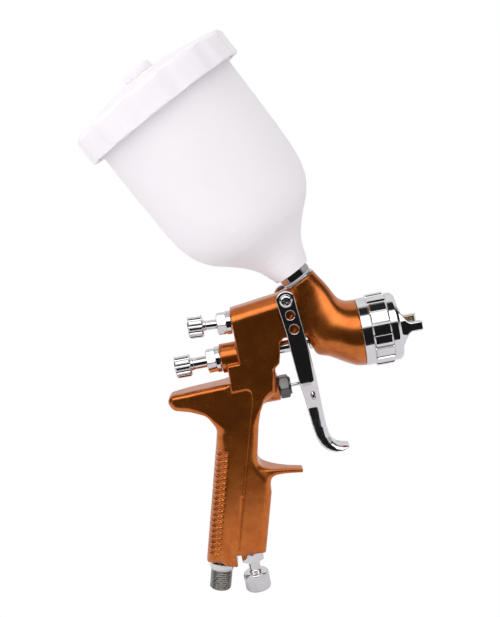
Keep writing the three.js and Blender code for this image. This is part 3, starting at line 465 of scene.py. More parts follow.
def skin(function, low, high, step, settle=3):
    """Closed mesh on the field's zero level. Each grid cell that the level passes through holds one point, at
    the mean of where the level crosses the cell's edges; each crossed grid edge is ringed by the four cells
    round it, as one face. The points then settle down the field's slope onto the level."""
    field = function(*samples(low, high, step))
    total = np.zeros((*(n - 1 for n in field.shape), 3), np.float32)
    count = np.zeros(total.shape[:3], np.uint8)
    crossings = []

    def held(cell):
        return ((cell >= 0) & (cell < total.shape[:3])).all(axis=1)

    for axis in range(3):
        u, v = (axis + 1) % 3, (axis + 2) % 3
        first = np.take(field, range(field.shape[axis] - 1), axis)
        second = np.take(field, range(1, field.shape[axis]), axis)
        crossed = (first < 0) != (second < 0)
        crossed[tuple(slice(None) if a == axis else [0, -1] for a in range(3))] = False
        place = np.argwhere(crossed)
        f0, f1 = first[crossed], second[crossed]
        spot = place.astype(np.float32)
        spot[:, axis] += f0 / (f0 - f1)
        ring = []
        for du, dv in ((0, 0), (-1, 0), (-1, -1), (0, -1)):
            cell = place.copy()
            cell[:, u] += du
            cell[:, v] += dv
            ring.append(cell)
            kept = held(cell)
            flat = np.ravel_multi_index(cell[kept].T, total.shape[:3])
            np.add.at(total.reshape(-1, 3), flat, spot[kept])
            np.add.at(count.reshape(-1), flat, 1)
        crossings.append((ring, f0 < 0))
    number = np.full(count.size, -1)
    used = np.flatnonzero(count.reshape(-1))
    number[used] = np.arange(len(used))
    points = total.reshape(-1, 3)[used] / count.reshape(-1)[used, None] * step + low
    faces = []
    for ring, forwards in crossings:
        kept = np.all([held(cell) for cell in ring], axis=0)
        quad = np.stack([number[np.ravel_multi_index(cell[kept].T, total.shape[:3])] for cell in ring], axis=1)
        faces.append(np.where(forwards[kept, None], quad, quad[:, ::-1]))
    points = points.astype(float)
    for _ in range(settle):
        value, slope = read_field(field, np.asarray(low, float), step, points)
        steep = np.maximum((slope**2).sum(axis=1), LEAST_SLOPE**2)
        points -= np.clip(value / steep, -step / 2, step / 2)[:, None] * slope
    return points, np.vstack(faces)


# ---------- node trees and finishes ----------
MIDDLE_OF_NOISE = (0.3, 0.7)  # the range of a noise that is spread over a finish's whole range
EDGE_POINTINESS = (0.52, 0.60)  # from a flat face to an edge that is worn all the way
CHIP_SCALE, CHIP_RANGE, CHIP_LEAST = 900, (0.35, 0.65), 0.2  # noise that breaks the worn edges up


class Tree:
    """A node tree with short ways to add its nodes. A value is a number, a colour or another node's socket."""

    def __init__(self, tree):
        self.nodes, self.links = tree.nodes, tree.links

    def put(self, socket, value):
        """Link or set one input."""
        if isinstance(value, bpy.types.NodeSocket):
            self.links.new(value, socket)
        else:
            socket.default_value = value

    def math(self, operation, *values):
        """The result of a math node."""
        node = self.nodes.new("ShaderNodeMath")
        node.operation = operation
        for socket, value in zip(node.inputs, values):
            self.put(socket, value)
        return node.outputs["Value"]

    def ramp(self, value, low, high, at_low, at_high, shape="SMOOTHSTEP"):
        """The value taken from the range low to high into the range at_low to at_high."""
        node = self.nodes.new("ShaderNodeMapRange")
        node.interpolation_type = shape
        for socket, number in zip(node.inputs, (value, low, high, at_low, at_high)):
            self.put(socket, number)
        return node.outputs["Result"]

    def mix(self, factor, a, b):
        """Colour a at factor 0, colour b at factor 1."""
        node = self.nodes.new("ShaderNodeMix")
        node.data_type = "RGBA"
        for place, value in ((0, factor), (6, a), (7, b)):
            self.put(node.inputs[place], value)
        return node.outputs[2]

    def choose(self, ray, otherwise, chosen):
        """The shader chosen for one kind of ray, and the other shader otherwise."""
        node = self.nodes.new("ShaderNodeMixShader")
        path = self.nodes.new("ShaderNodeLightPath").outputs[ray]
        for socket, value in zip(node.inputs, (path, otherwise, chosen)):
            self.links.new(value, socket)
        return node.outputs["Shader"]


class Finish(Tree):
    """A material whose colour, roughness and relief vary over the surface: a broad noise mixes two colours, a
    finer one varies the roughness, the finest gives the grain's relief, and worn edges take a third colour."""

    def __init__(self, name, colours, roughness, metallic=0.0, mottle=120, smudge=60, grain=2600, relief=0.02,
                 worn=None, wear=0.5, **settings):
        self.material = bpy.data.materials.new(name)
        self.material.use_nodes = True
        super().__init__(self.material.node_tree)
        shader = self.nodes["Principled BSDF"].inputs
        shader["Metallic"].default_value = metallic
        for socket, value in settings.items():
            shader[socket.replace("_", " ")].default_value = value
        self.place = self.nodes.new("ShaderNodeTexCoord").outputs["Object"]
        patches = self.ramp(self.noise(mottle, 4), *MIDDLE_OF_NOISE, 0, 1)
        base = self.mix(patches, (*colours[0], 1), (*colours[1], 1))
        if worn:
            edge = self.nodes.new("ShaderNodeNewGeometry").outputs["Pointiness"]
            sharp = self.ramp(edge, *EDGE_POINTINESS, 0, wear)
            chips = self.ramp(self.noise(CHIP_SCALE, 3), *CHIP_RANGE, CHIP_LEAST, 1)
            broken = self.math("MULTIPLY", sharp, chips)
            base = self.mix(self.ramp(broken, 0, 1, 0, 1), base, (*worn, 1))
        self.put(shader["Base Color"], base)
        self.put(shader["Roughness"], self.ramp(self.noise(smudge, 5), *MIDDLE_OF_NOISE, *roughness))
        bump = self.nodes.new("ShaderNodeBump")
        bump.inputs["Strength"].default_value = 1
        bump.inputs["Distance"].default_value = relief * MM
        self.put(bump.inputs["Height"], self.noise(grain, 2))
        self.put(shader["Normal"], bump.outputs["Normal"])

    def noise(self, scale, detail):
        """Noise with that many octaves over the object's own place."""
        node = self.nodes.new("ShaderNodeTexNoise")
        node.inputs["Scale"].default_value = scale
        node.inputs["Detail"].default_value = detail
        self.put(node.inputs["Vector"], self.place)
        return node.outputs["Fac"]


finishes = {}


def make_finishes():
    """All finishes of the gun, by name. The worn edges are brighter or darker by a share of the colour."""
    c = bpy.context.scene.spray_gun_colours

    def scaled(rgb, share):
        return tuple(min(1.0, value * share) for value in rgb)

    def add(key, name, first, second, roughness, worn=None, **rest):
        worn = scaled(*worn) if worn else None
        colours = (scaled(*first), scaled(*second))
        finishes[key] = Finish(name, colours, roughness, worn=worn, **rest).material

    add("copper_body", "satin copper paint", (c.copper_deep, 1), (c.copper, 1), (0.235, 0.29), (c.copper, 1.35),
        metallic=0.93, mottle=160, grain=4200, relief=0.004, wear=0.35, Coat_Weight=0.45, Coat_Roughness=0.2)
    add("chrome", "bright chrome", (c.chrome, 1), (c.chrome, 0.94), (0.05, 0.11), (c.chrome, 0.8),
        metallic=1, mottle=90, smudge=45, grain=1500, relief=0.002, wear=0.3)
    add("dark_nickel", "black nickel", (c.nickel, 1), (c.nickel, 0.75), (0.26, 0.38), (c.steel, 2.2),
        metallic=0.9, mottle=300, relief=0.01, wear=0.6)
    add("grey_steel", "turned grey steel", (c.steel, 1.1), (c.steel, 0.75), (0.24, 0.36), (c.steel, 1.6),
        metallic=0.9, mottle=400, grain=3500, relief=0.012, wear=0.6)
    add("spring_steel", "spring steel", (c.chrome, 0.6), (c.chrome, 0.5), (0.2, 0.3),
        metallic=1, mottle=500, grain=3000, relief=0.004)
    add("brass", "turned brass", (c.brass, 1), (c.brass, 0.82), (0.2, 0.32), (c.brass, 1.3),
        metallic=0.95, mottle=300, relief=0.006, wear=0.4)
    add("milky_plastic", "milky polypropylene", (c.milk, 1), (c.milk, 0.975), (0.42, 0.52), (c.milk, 1.04),
        mottle=30, smudge=40, grain=1400, relief=0.012,
        Subsurface_Weight=0.25, Subsurface_Radius=(1.0, 0.9, 1.0), Subsurface_Scale=4 * MM, IOR=1.49)
    add("seal", "white seal plastic", (c.seal, 1), (c.seal, 0.94), (0.45, 0.55),
        mottle=200, grain=1600, relief=0.01)
    add("rubber", "black rubber", (c.rubber, 1), (c.rubber, 1.8), (0.6, 0.75), mottle=300, grain=1800)


# ---------- casting ----------
CUP_LEAN = math.radians(27)
GRIP_TILT = math.radians(15.5)
FAN_RISE = math.radians(3.5)
UP_THE_CUP = (-math.sin(CUP_LEAN), 0, math.cos(CUP_LEAN))
DOWN_THE_CUP = (math.sin(CUP_LEAN), 0, -math.cos(CUP_LEAN))
UP_THE_GRIP = (math.sin(GRIP_TILT), 0, math.cos(GRIP_TILT))
DOWN_THE_GRIP = (-math.sin(GRIP_TILT), 0, -math.cos(GRIP_TILT))
BACK_ALONG_FAN = (-math.cos(FAN_RISE), 0, math.sin(FAN_RISE))
GRIP_REAR = (-38.0, -60.0)  # a point [x, z] on the grip's rear edge
CASTING_BOX = ((-61.0, -21.5, -129.5), (63.0, 21.5, 44.5))

# The casting's side outline, as [x, z, radius of the corner], without its spray head and its spur.
CASTING_OUTLINE = [
    (-12, 28.6, 1.2), (15.5, 32.0), (20, 32.6, 2), (25.5, 26, 4), (27.6, 7.1), (15.9, 7.1, 0.6), (13.3, 4.6, 1.5),
    (12.3, -2, 6), (11.0, -7.1, 1.8), (8.1, -9.6, 2), (7.4, -15), (5.5, -24), (-2.0, -27.5, 4), (-5.4, -34, 5),
    (-7.9, -42, 12), (-12.0, -60, 8), (-13.0, -67, 7), (-7.6, -76.5, 8), (-7.9, -84),
    (-18.2, -120.4, 1.2), (-36.3, -119.4, 0.4), (-36.3, -126.7, 0.8), (-54.9, -121.2, 1.6), (-38, -60),
    (-35.1, -49.6, 20), (-32.7, -40, 9), (-36.8, -31, 8), (-46, -27.0, 18), (-55.9, -24.8, 4),
    (-58.7, -19.3, 3.6), (-55.6, -15.25, 3.2), (-38, -14.4), (-19.5, -13.8, 0.7), (-19.5, -2.9, 0.8), (-12, -2.9),
]
# The grip's sunk side panel: it ends under the block and along a line down the middle of the grip.
PANEL_OUTLINE = [
    (-19.9, -19.2, 0.5), (-8.2, -18.8, 3), (-9.2, -27.5, 6), (-11.6, -35), (-24.5, -80), (-34.4, -116),
    (-37.5, -134), (-80, -140), (-80, -5), (-19.9, -5),
]
# The spray head, from the neck to the ring: upper and lower edges [x, z] and half width.
HEAD_UPPER = [(40.2, 41.9), (42.7, 37.8), (45.2, 34.1), (47.7, 29.8), (49.8, 25.6), (52.2, 22.3), (55.2, 20.4),
              (58.2, 19.8), (61.1, 19.7)]
HEAD_LOWER = [(22.3, 32.9), (22.6, 25.5), (23.2, 17.0), (26.2, 5.6), (33.0, -6.9), (41.0, -10.6), (49.0, -15.4),
              (55.6, -18.7), (61.1, -19.7)]
HEAD_HALF = [9.95, 10.1, 10.6, 12.2, 14.8, 17.0, 18.7, 19.5, 19.7]
HEAD_REAR = ((28.7, 7.2), (33.0, -6.6))  # the face behind the trigger, from its top down

# Half widths of the casting and what they lose on the way to the neck and along the horn.
BLOCK_HALF = 11.9
NECK_LOSS, NECK_SPAN = 1.9, (20, 27.5)
HORN_PLACES, HORN_LOSS = [20, 30, 45, 59], [0.4, 1.2, 1.7, 4.6]
PANEL_BEVEL = (-0.1, 0.7)
# Edge radii; those of the block's low front and of the grip's rear are added to the one before.
BLOCK_EDGE, LOW_FRONT_EDGE, HORN_EDGE = 0.9, 2.2, 3.4
GRIP_EDGE, GRIP_REAR_EDGE, GRIP_LOW_EDGE = 4.4, 2.6, 2.0
# Spans over which one form passes into the next, along the gun or down from its middle.
GRIP_SPAN, GRIP_LOW_SPAN, HORN_SPAN, HORN_FOOT_SPAN = (28, 44), (44, 56), (18, 24), (24, 40)
LOW_FRONT_DEPTHS, LOW_FRONT_SPAN, ARM_ROOM_SPAN, SPUR_SPAN = (8, 11), (-4, 2), (29.5, 44), (-6, 8)
GRIP_REAR_DEPTH, GRIP_REAR_SPAN = 13, (0, 5)  # how far in front of the grip's rear edge it is rounder
TOP_REAR, TOP_FRONT, TOP_EDGE = (-12, 28.6), (15.5, 32.0), 8.6
SPUR_FILLET, HEAD_FILLET = 7.0, 6.0
# Ribs: how far they reach in front of the rear edge, their ends along the grip, and a groove's flank.
RIB_BAND, RIB_TOP, RIB_FOOT, RIB_FLANK = (6.9, 7.6), (-9.8, -8.6), (55.5, 56.5), (-0.1, 0.7)
SEAM_START, SEAM_LINE, SEAM_RADIUS, SEAM_LENGTH = (-25.2, 11.35, -82.5), (-9.9, 0, -36), 0.62, 33.5
SPUR_OUTLINE = [(-17, -67.2), (-2, -71.3), (12.8, -74.6, 1.1), (13.1, -77.0, 1.1), (-17, -72.6)]
SPUR_HALF, SPUR_ROOT_HALF, SPUR_EDGE = 4.6, 3.4, 1.1
ARM_ROOM_HALF = 12.05  # the trigger's arms pass outside it

# Bosses behind the knob and the air valve, as start, radius, length, edge and the reach of their fillet.
BOSSES = [((-22.5, 0, 0), 8.7, 14, 0.7, 1.0), ((-12, 0, -23.6), 7.6, 20, 0.6, 3.5)]
# Bores that the fittings go into: start, direction, radius and length.
CASTING_BORES = [
    ((-24, 0, 0), FORWARD, 5.0, 18), ((-8, 0, 0), FORWARD, 4.1, 25), ((24, 0, 0), FORWARD, 4.9, 9.0),
    ((32, 0, 0), FORWARD, 4.0, 10.5), ((46, 0, 0), FORWARD, 4.7, 20), ((38, 0, 0), FORWARD, 2.4, 10),
    ((-14, 0, 20.5), FORWARD, 5.0, 17), ((-30, 0, -23.6), FORWARD, 5.5, 40),
    ((-27.0, 0, -122), UP, 5.0, 20), ((-46.2, 0, -125.6), UP_THE_GRIP, 5.5, 13),
    ((32.1, 0, 35.6), DOWN_THE_CUP, 5.75, 14), ((31.2, 0, 37.4), DOWN_THE_CUP, 3.6, 40),
    ((21.3, -20, 29), ACROSS, 3.7, 40),
]


def spline(values, t):
    """A smooth curve through evenly spaced values, by cubic pieces whose slopes are half of the difference
    between neighbours."""
    values = np.asarray(values, float)
    slopes = np.gradient(values, axis=0)
    place = np.clip(t, 0, 1) * (len(values) - 1)
    i = np.minimum(place.astype(int), len(values) - 2)
    f = place - i
    if values.ndim > 1:
        f = f[..., None]
    return ((1 + 2 * f) * (1 - f) ** 2 * values[i] + f * (1 - f) ** 2 * slopes[i]
            + f * f * (3 - 2 * f) * values[i + 1] + f * f * (f - 1) * slopes[i + 1])


def head_field(x, y, z):
    """The spray head: an oval between an upper and a lower edge, swept from the neck to the ring. The section
    through each point of the side plane is found by halving."""
    flat = np.stack(np.broadcast_arrays(x, z), axis=-1)[:, 0].astype(float)

    def across(t):
        upper, lower = spline(HEAD_UPPER, t), spline(HEAD_LOWER, t)
        edge, offset = lower - upper, flat - upper
        return edge[..., 0] * offset[..., 1] - edge[..., 1] * offset[..., 0]

    low, high = np.zeros(flat.shape[:2]), np.ones(flat.shape[:2])
    before, after = across(low), across(high)
    for _ in range(22):
        middle = (low + high) / 2
        same = np.sign(across(middle)) == np.sign(before)
        low, high = np.where(same, middle, low), np.where(same, high, middle)
    outside = np.where(np.abs(before) < np.abs(after), 0, 1)
    t = np.where(np.sign(before) == np.sign(after), outside, (low + high) / 2)
    upper, lower, half = spline(HEAD_UPPER, t), spline(HEAD_LOWER, t), spline(HEAD_HALF, t)
    reach = np.linalg.norm(upper - lower, axis=-1) / 2
    along = unit_rows(upper - lower)
    place = ((flat - (upper + lower) / 2) * along).sum(axis=-1) / reach
    place, half, reach = (a[:, None, :].astype(np.float32) for a in (place, half, reach))
    oval = np.sqrt(place**2 + (y / half) ** 2)
    slope = np.sqrt((place / reach) ** 2 + (y / half**2) ** 2)
    body = oval * (oval - 1) / np.maximum(slope, 1e-4)
    neck_up = (x - HEAD_UPPER[0][0]) * UP_THE_CUP[0] + (z - HEAD_UPPER[0][1]) * UP_THE_CUP[2]
    front = x - HEAD_UPPER[-1][0]
    (top_x, top_z), (foot_x, foot_z) = HEAD_REAR
    fall, run = top_z - foot_z, foot_x - top_x
    rear = ((x - top_x) * -fall - (z - top_z) * run) / math.hypot(fall, run)
    rear = np.minimum(rear, top_z - 0.1 - z)
    return pared(np.maximum(body, np.maximum(neck_up, front)), rear, 1.2)


def casting_field(x, y, z):
    """Side outline carried across to a half width that varies, with an edge radius that varies from the round
    rear of the grip to the crisp faces of the block; bosses, horn, spur and head blend into it."""
    side = np.abs(y)
    flat = outline_field(x, z, filleted(CASTING_OUTLINE, closed=True, steps=6))
    panel = outline_field(x, z, filleted(PANEL_OUTLINE, closed=True, steps=6))
    behind = (x - GRIP_REAR[0]) * math.cos(GRIP_TILT) - (z - GRIP_REAR[1]) * math.sin(GRIP_TILT)
    down = -(x - GRIP_REAR[0]) * math.sin(GRIP_TILT) - (z - GRIP_REAR[1]) * math.cos(GRIP_TILT)
    in_grip = smooth_step(-z, *GRIP_SPAN)
    in_horn = smooth_step(-x, *HORN_SPAN) * (1 - smooth_step(-z, *HORN_FOOT_SPAN))
    half = BLOCK_HALF - size("panel_step") * (1 - smooth_step(panel, *PANEL_BEVEL))
    half = half - NECK_LOSS * smooth_step(x, *NECK_SPAN)
    half = half - in_horn * np.interp(-x, HORN_PLACES, HORN_LOSS).astype(np.float32)

    rear_round = GRIP_REAR_EDGE + GRIP_LOW_EDGE * smooth_step(-z, *GRIP_LOW_SPAN)
    grip_round = GRIP_EDGE + rear_round * smooth_step(GRIP_REAR_DEPTH - behind, *GRIP_REAR_SPAN)
    low_front = smooth_step(-z, *LOW_FRONT_DEPTHS) * smooth_step(x, *LOW_FRONT_SPAN)
    block_round = BLOCK_EDGE + LOW_FRONT_EDGE * low_front
    edge = block_round * (1 - in_grip) + grip_round * in_grip
    edge = edge * (1 - in_horn) + HORN_EDGE * in_horn
    body = rounded_meet(flat, side - half, edge)
    slope = math.atan2(TOP_FRONT[1] - TOP_REAR[1], TOP_FRONT[0] - TOP_REAR[0])
    top = (z - TOP_REAR[1]) * math.cos(slope) - (x - TOP_REAR[0]) * math.sin(slope)
    body = np.maximum(body, rounded_meet(top, side - BLOCK_HALF, TOP_EDGE))

    for start, radius, reach, round_to, fillet in BOSSES:
        body = blended(body, rod_field(x, y, z, start, FORWARD, radius, reach, round_to), fillet)
    spur_half = SPUR_HALF + SPUR_ROOT_HALF * smooth_step(-x, *SPUR_SPAN)
    spur = outline_field(x, z, filleted(SPUR_OUTLINE, closed=True))
    body = blended(body, rounded_meet(spur, side - spur_half, SPUR_EDGE), SPUR_FILLET)
    body = np.maximum(body, side - half)
    body = blended(body, head_field(x, y, z), HEAD_FILLET)
    body = np.maximum(body, side - ARM_ROOM_HALF - 10 * smooth_step(x, *ARM_ROOM_SPAN))

    ribbed = 1 - smooth_step(behind, *RIB_BAND)
    ribbed = ribbed * smooth_step(down, *RIB_TOP) * (1 - smooth_step(down, *RIB_FOOT))
    wave = np.cos(down / size("rib_pitch") * TURN)
    body = body + size("rib_depth") * smooth_step(wave, *RIB_FLANK) * ribbed
    for hand in (1, -1):  # a seam down each side of the grip
        start = np.multiply(SEAM_START, (1, hand, 1))
        body = pared(body, -rod_field(x, y, z, start, SEAM_LINE, SEAM_RADIUS, SEAM_LENGTH), 0.3)
    for start, direction, radius, reach in CASTING_BORES:
        body = np.maximum(body, -rod_field(x, y, z, start, direction, radius, reach, 0.1))
    return body


class SPRAYGUN_OT_casting(bpy.types.Operator):
    """Casting of the gun: block, grip with its ribs, horn, spur and spray head, and the thread under the ring"""

    bl_idname = "spraygun.casting"
    bl_label = "Casting"

    def execute(self, context):
        make("gun_casting", skin(casting_field, *CASTING_BOX, size("casting_grid")), "copper_body", "root",
             "gun_body", crease=180)
        spigot = Line("retaining_ring", FORWARD)
        start = spigot.origin[0] - 3.0
        end = Line("air_cap", FORWARD).origin[0] - 4.5 - start
        spigot.origin = np.array([start, 0, 0])
        outer = 16.25
        profile = closed_outline([
            (11.6, 0), (outer, 0), (outer, end - 0.6, 0.3), (outer - 0.7, end, 0.2), (13.6, end, 0.2),
            (13.6, 4.5, 1), (7.2, 4.5, 1), (7.2, end - 3.2, 0.3), (4.7, end - 3.2, 0.3), (4.7, 0)], 0.2)
        make("spray_head_thread", turned(spigot, profile, 120, True, threaded(outer, 0.7, 1.5, 3.6, end - 0.5)),
             "copper_body", "root")
        return {"FINISHED"}


# ---------- trigger ----------
TRIGGER_FRONT = [
    (26.9, 36), (26.9, 29), (27.5, 22), (28.7, 10), (29.5, 0), (30.3, -10), (31.0, -20), (31.2, -30), (31.4, -40),
    (31.8, -50), (32.6, -57), (34.0, -60.6), (36.2, -62.8), (39.2, -64.0), (44.0, -65.0),
]
TRIGGER_REAR = [
    (15.6, 29), (16.8, 20), (18.0, 10), (18.6, 0), (19.3, -10), (20.1, -20), (21.5, -30), (22.1, -37),
    (23.3, -50), (24.5, -57), (26.0, -61), (28.2, -64), (31.0, -66.2), (34.4, -67.4), (38.2, -67.7),
]
TRIGGER_PIVOT = (21.3, 29.0)
TRIGGER_CROWN = 5.75  # radius of the arms' ends round the pivot
TRIGGER_TIP = [(38.2, -67.7), (42.9, -66.4, 1.0), (43.0, -64.8, 0.8), (39.2, -64.0)]
TRIGGER_BOX = ((13.5, -15.5, -70.0), (45.5, 15.5, 37.0))
TRIGGER_WALL = 1.6
DIMPLE, DIMPLE_RADII, DIMPLE_DEPTH, DIMPLE_SLOPE = (26.9, -29.2), (1.9, 3.2), 0.9, (0.5, 1.0)
# Half width and radius of the front corners, by depth below the needle.
HALF_DEPTHS, HALF_WIDTHS = [-36, 20.5, 23.5, 34.2, 37.5, 50, 70], [14, 14, 13.45, 9.5, 9.0, 8.2, 7.2]
CORNER_DEPTHS, CORNER_RADII = [-36, 0, 8, 20, 34, 45, 70], [1.0, 1.2, 2.6, 4.4, 5.0, 5.2, 5.2]
TRIGGER_HOLES = [(*TRIGGER_PIVOT, 2.2), (22.2, 20.3, 2.6), (23.0, 11.8, 2.7)]  # [x, z, radius] through both arms


def trigger_field(x, y, z):
    """A channel: its front follows one edge and is open behind; its half width falls from the arms to the
    finger, and its front corners are rounder there. Above the needle only the two arms are left."""
    crown = [(TRIGGER_PIVOT[0] + TRIGGER_CROWN * math.cos(a), TRIGGER_PIVOT[1] + TRIGGER_CROWN * math.sin(a))
             for a in np.linspace(0, math.pi, 16)]
    tip = filleted(TRIGGER_TIP, margin=9)[1:-1]
    flat = outline_field(x, z, np.array([*crown, *TRIGGER_REAR, *tip, *TRIGGER_FRONT[:0:-1]]))
    front = edge_field(x, z, TRIGGER_FRONT[::-1])
    side = np.abs(y)
    half, corner = (np.interp(-z, depths, values).astype(np.float32)
                    for depths, values in ((HALF_DEPTHS, HALF_WIDTHS), (CORNER_DEPTHS, CORNER_RADII)))
    outer = rounded_meet(front, side - half, corner)
    shell = pared(pared(outer, -(outer + TRIGGER_WALL), 0.5), flat, 0.9)
    finger_tip = pared(pared(outer, flat, 0.8), 62.6 + z + (x - 33) * 0.42, 0.8)  # solid below a slope
    shell = np.minimum(shell, finger_tip)
    between_arms = rounded_meet(2.5 - z, side - 12.4, 1.5)
    needle_slot = rounded_meet(np.abs(z - 1.8) - 4.2, side - 2.6, 1.0)
    shell = pared(pared(shell, -between_arms, 0.5), -needle_slot, 0.4)
    for hole_x, hole_z, radius in TRIGGER_HOLES:
        shell = pared(shell, radius - np.hypot(x - hole_x, z - hole_z), 0.5)
    dimple = np.sqrt(((x - DIMPLE[0]) / DIMPLE_RADII[0]) ** 2 + ((z - DIMPLE[1]) / DIMPLE_RADII[1]) ** 2)
    return shell + DIMPLE_DEPTH * (1 - smooth_step(dimple, *DIMPLE_SLOPE)) * (side > 5)


class SPRAYGUN_OT_trigger(bpy.types.Operator):
    """Trigger of the gun, a chromed channel with two arms"""

    bl_idname = "spraygun.trigger"
    bl_label = "Trigger"

    def execute(self, context):
        make("trigger_channel", skin(trigger_field, *TRIGGER_BOX, size("chrome_grid")), "chrome", "trigger",
             "trigger", crease=180)
        return {"FINISHED"}


class SPRAYGUN_OT_pivot(bpy.types.Operator):
    """Pan-head screws on both sides of the trigger's pivot, with crossed recesses"""

    bl_idname = "spraygun.pivot"
    bl_label = "Pivot screws"

    def execute(self, context):
        slot_half, slot_reach, depth = 0.48, 2.1, 1.2

        def recess(angle, radius, height):
            across, up = np.abs(radius * np.cos(angle + 0.5)), np.abs(radius * np.sin(angle + 0.5))
            bar = np.minimum(np.maximum(across - slot_half, up - slot_reach),
                             np.maximum(up - slot_half, across - slot_reach))
            sunk = depth * (1 - smooth_step(np.minimum(bar, radius - 1.0), -0.22, 0.05))
            return radius, np.where(height > top - 2.0, height - sunk, height)

        for name, hand in (("pivot_screw_right", -1), ("pivot_screw_left", 1)):
            line = Line(name, (0, hand, 0))
            top = line.length
            profile = filleted([(0, 0), (1.85, 0, 0.3), (1.85, top - 1.9, 0.1), (3.85, top - 1.9, 0.25),
                                (3.85, top - 1.25, 0.9), (2.6, top - 0.15, 1.8), (0, top)], steps=7)
            profile = denser(profile, 0.09, top - 1.0, top + 1)
            make(name.replace("screw", "pan_screw"), turned(line, profile, 144, shape=recess), "chrome", "root",
                 name, crease=50)
        return {"FINISHED"}


# ---------- nuts, knobs and rods ----------
def nut(name, node, direction, parts, finish="chrome"):
    """A nut on a sleeve: the radii of sleeve, flange, hexagon corner and bore, and the heights where the flange
    and the hexagon start and the hexagon ends. The hexagon's corners are cut by a cone at its end."""
    sleeve, flange, corner, bore, flange_from, hex_from, hex_to = parts
    line = Line(node, direction)
    end = line.length
    profile = [(bore, 0, 0.2), (sleeve, 0, 0.3), (sleeve, flange_from), (flange, flange_from, 0.35),
               (flange, hex_from, 0.45), (corner - 0.7, hex_from), (corner, hex_from + 0.5),
               (corner, hex_to - 0.9), (corner - 1.7, hex_to, 0.15)]
    if hex_to < end - 0.05:
        profile += [(corner - 2.2, hex_to), (corner - 2.2, end, 0.3)]
    profile += [(bore + 0.35, end, 0.0), (bore, end - 0.35, 0.0)]
    profile = closed_outline(profile, 0.25, hex_from, hex_to, steps=3)
    make(name, turned(line, profile, 144, True, hexagon(corner, hex_from + 0.01, hex_to + 0.01)), finish, "root",
         node, crease=32)


def knob(name, node, direction, stem, grip, reach, flutes, depth, round_to=0.7, share=0.62):
    """A fluted grip on a stem, with rounded edges and a shallow recess in its end. It rides on the body that
    has its node's name."""
    line = Line(node, direction)
    end = line.length
    start = end - reach
    profile = filleted([
        (0, 0), (stem, 0, 0.3), (stem, start - 1.6), (stem + 0.35, start - 1.2, 0.2), (stem + 0.35, start, 0.2),
        (grip - 1.0, start, 0.3), (grip, start + 0.9, round_to), (grip, end - 1.0, round_to),
        (grip - 1.1, end, 0.4), (grip - 2.3, end, 0.25), (grip - 2.7, end - 0.5, 0.25), (0, end - 0.5)])
    profile = denser(profile, 0.3, start, end)
    shape = fluted(grip, depth, flutes, start + 0.05, end, 2.5, share)
    make(name, turned(line, profile, flutes * 18, shape=shape), "chrome", node, node, crease=38)


def rod(name, node, direction, corners, body, finish="chrome", closed=False, sides=64):
    """A plain turned piece on a CAD node's line. corners gives its outline for the line's length."""
    line = Line(node, direction)
    outline = filleted(corners(line.length), closed=closed)
    make(name, turned(line, outline, sides, closed), finish, body, node)


class SPRAYGUN_OT_nuts(bpy.types.Operator):
    """Guide nuts of the three knobs and of the air valve"""

    bl_idname = "spraygun.nuts"
    bl_label = "Nuts"

    def execute(self, context):
        nut("fluid_nut", "fluid_guide_nut", BACK, (4.7, 7.7, 7.5, 3.8, 8.3, 11.0, 16.5))
        nut("fan_nut", "fan_valve_nut", BACK_ALONG_FAN, (4.7, 7.0, 7.0, 3.1, 8.3, 11.5, 17.0))
        nut("cheater_nut", "air_control_nut", DOWN, (4.7, 5.6, 7.5, 3.8, 8.3, 8.9, 14.7))
        nut("valve_nut", "air_valve_nut", FORWARD, (5.2, 6.9, 7.4, 1.5, 4.95, 5.5, 11.0), "dark_nickel")
        return {"FINISHED"}


class SPRAYGUN_OT_knobs(bpy.types.Operator):
    """Fluted knobs for the paint, the fan and the air"""

    bl_idname = "spraygun.knobs"
    bl_label = "Knobs"

    def execute(self, context):
        flutes = size("knob_flutes")
        knob("fluid_grip_knob", "fluid_knob", BACK, 3.5, 6.9, 9.5, flutes, 0.75)
        knob("fan_grip_knob", "fan_knob", BACK_ALONG_FAN, 2.8, 6.8, 9.0, flutes, 0.75)
        knob("cheater_grip_knob", "air_control_knob", DOWN, 3.5, 7.75, 11.5, 8, 0.7, 2.0, 0.45)
        return {"FINISHED"}


class SPRAYGUN_OT_needle(bpy.types.Operator):
    """Needle, its collar and the packing nut, and the air valve's stem"""

    bl_idname = "spraygun.needle"
    bl_label = "Needle"

    def execute(self, context):
        rod("needle_rod", "fluid_needle", FORWARD, lambda end: [
            (0, 0), (1.5, 0, 0.4), (1.5, end - 6, 1.5), (0.42, end, 0.3), (0, end)], "needle")
        rod("needle_sleeve", "needle_collar", FORWARD, lambda end: [
            (1.8, 0), (3.75, 0, 0.4), (3.75, end - 4.4, 0.2), (3.35, end - 4.2, 0.2), (3.35, end - 3.2, 0.2),
            (3.75, end - 3.0, 0.2), (3.75, end, 0.4), (1.8, end)], "needle", closed=True)
        line = Line("packing_nut", FORWARD)
        end, corner, hex_to = line.length, 4.4, 2.6
        profile = closed_outline([
            (1.8, 0, 0.1), (3.4, 0, 0.15), (corner, 0.6), (corner, 2.1), (3.9, hex_to), (3.55, hex_to),
            (3.55, end, 0.2), (1.8, end, 0.1)], 0.2, 0, hex_to)
        make("gland_nut", turned(line, profile, 96, True, hexagon(corner, -0.01, hex_to + 0.01)), "chrome", "root",
             "packing_nut", crease=32)
        rod("valve_stem", "air_valve_stem", FORWARD, lambda end: [
            (0, 0), (1, 0, 0.2), (1, end, 0.4), (0, end)], "air_valve")
        return {"FINISHED"}


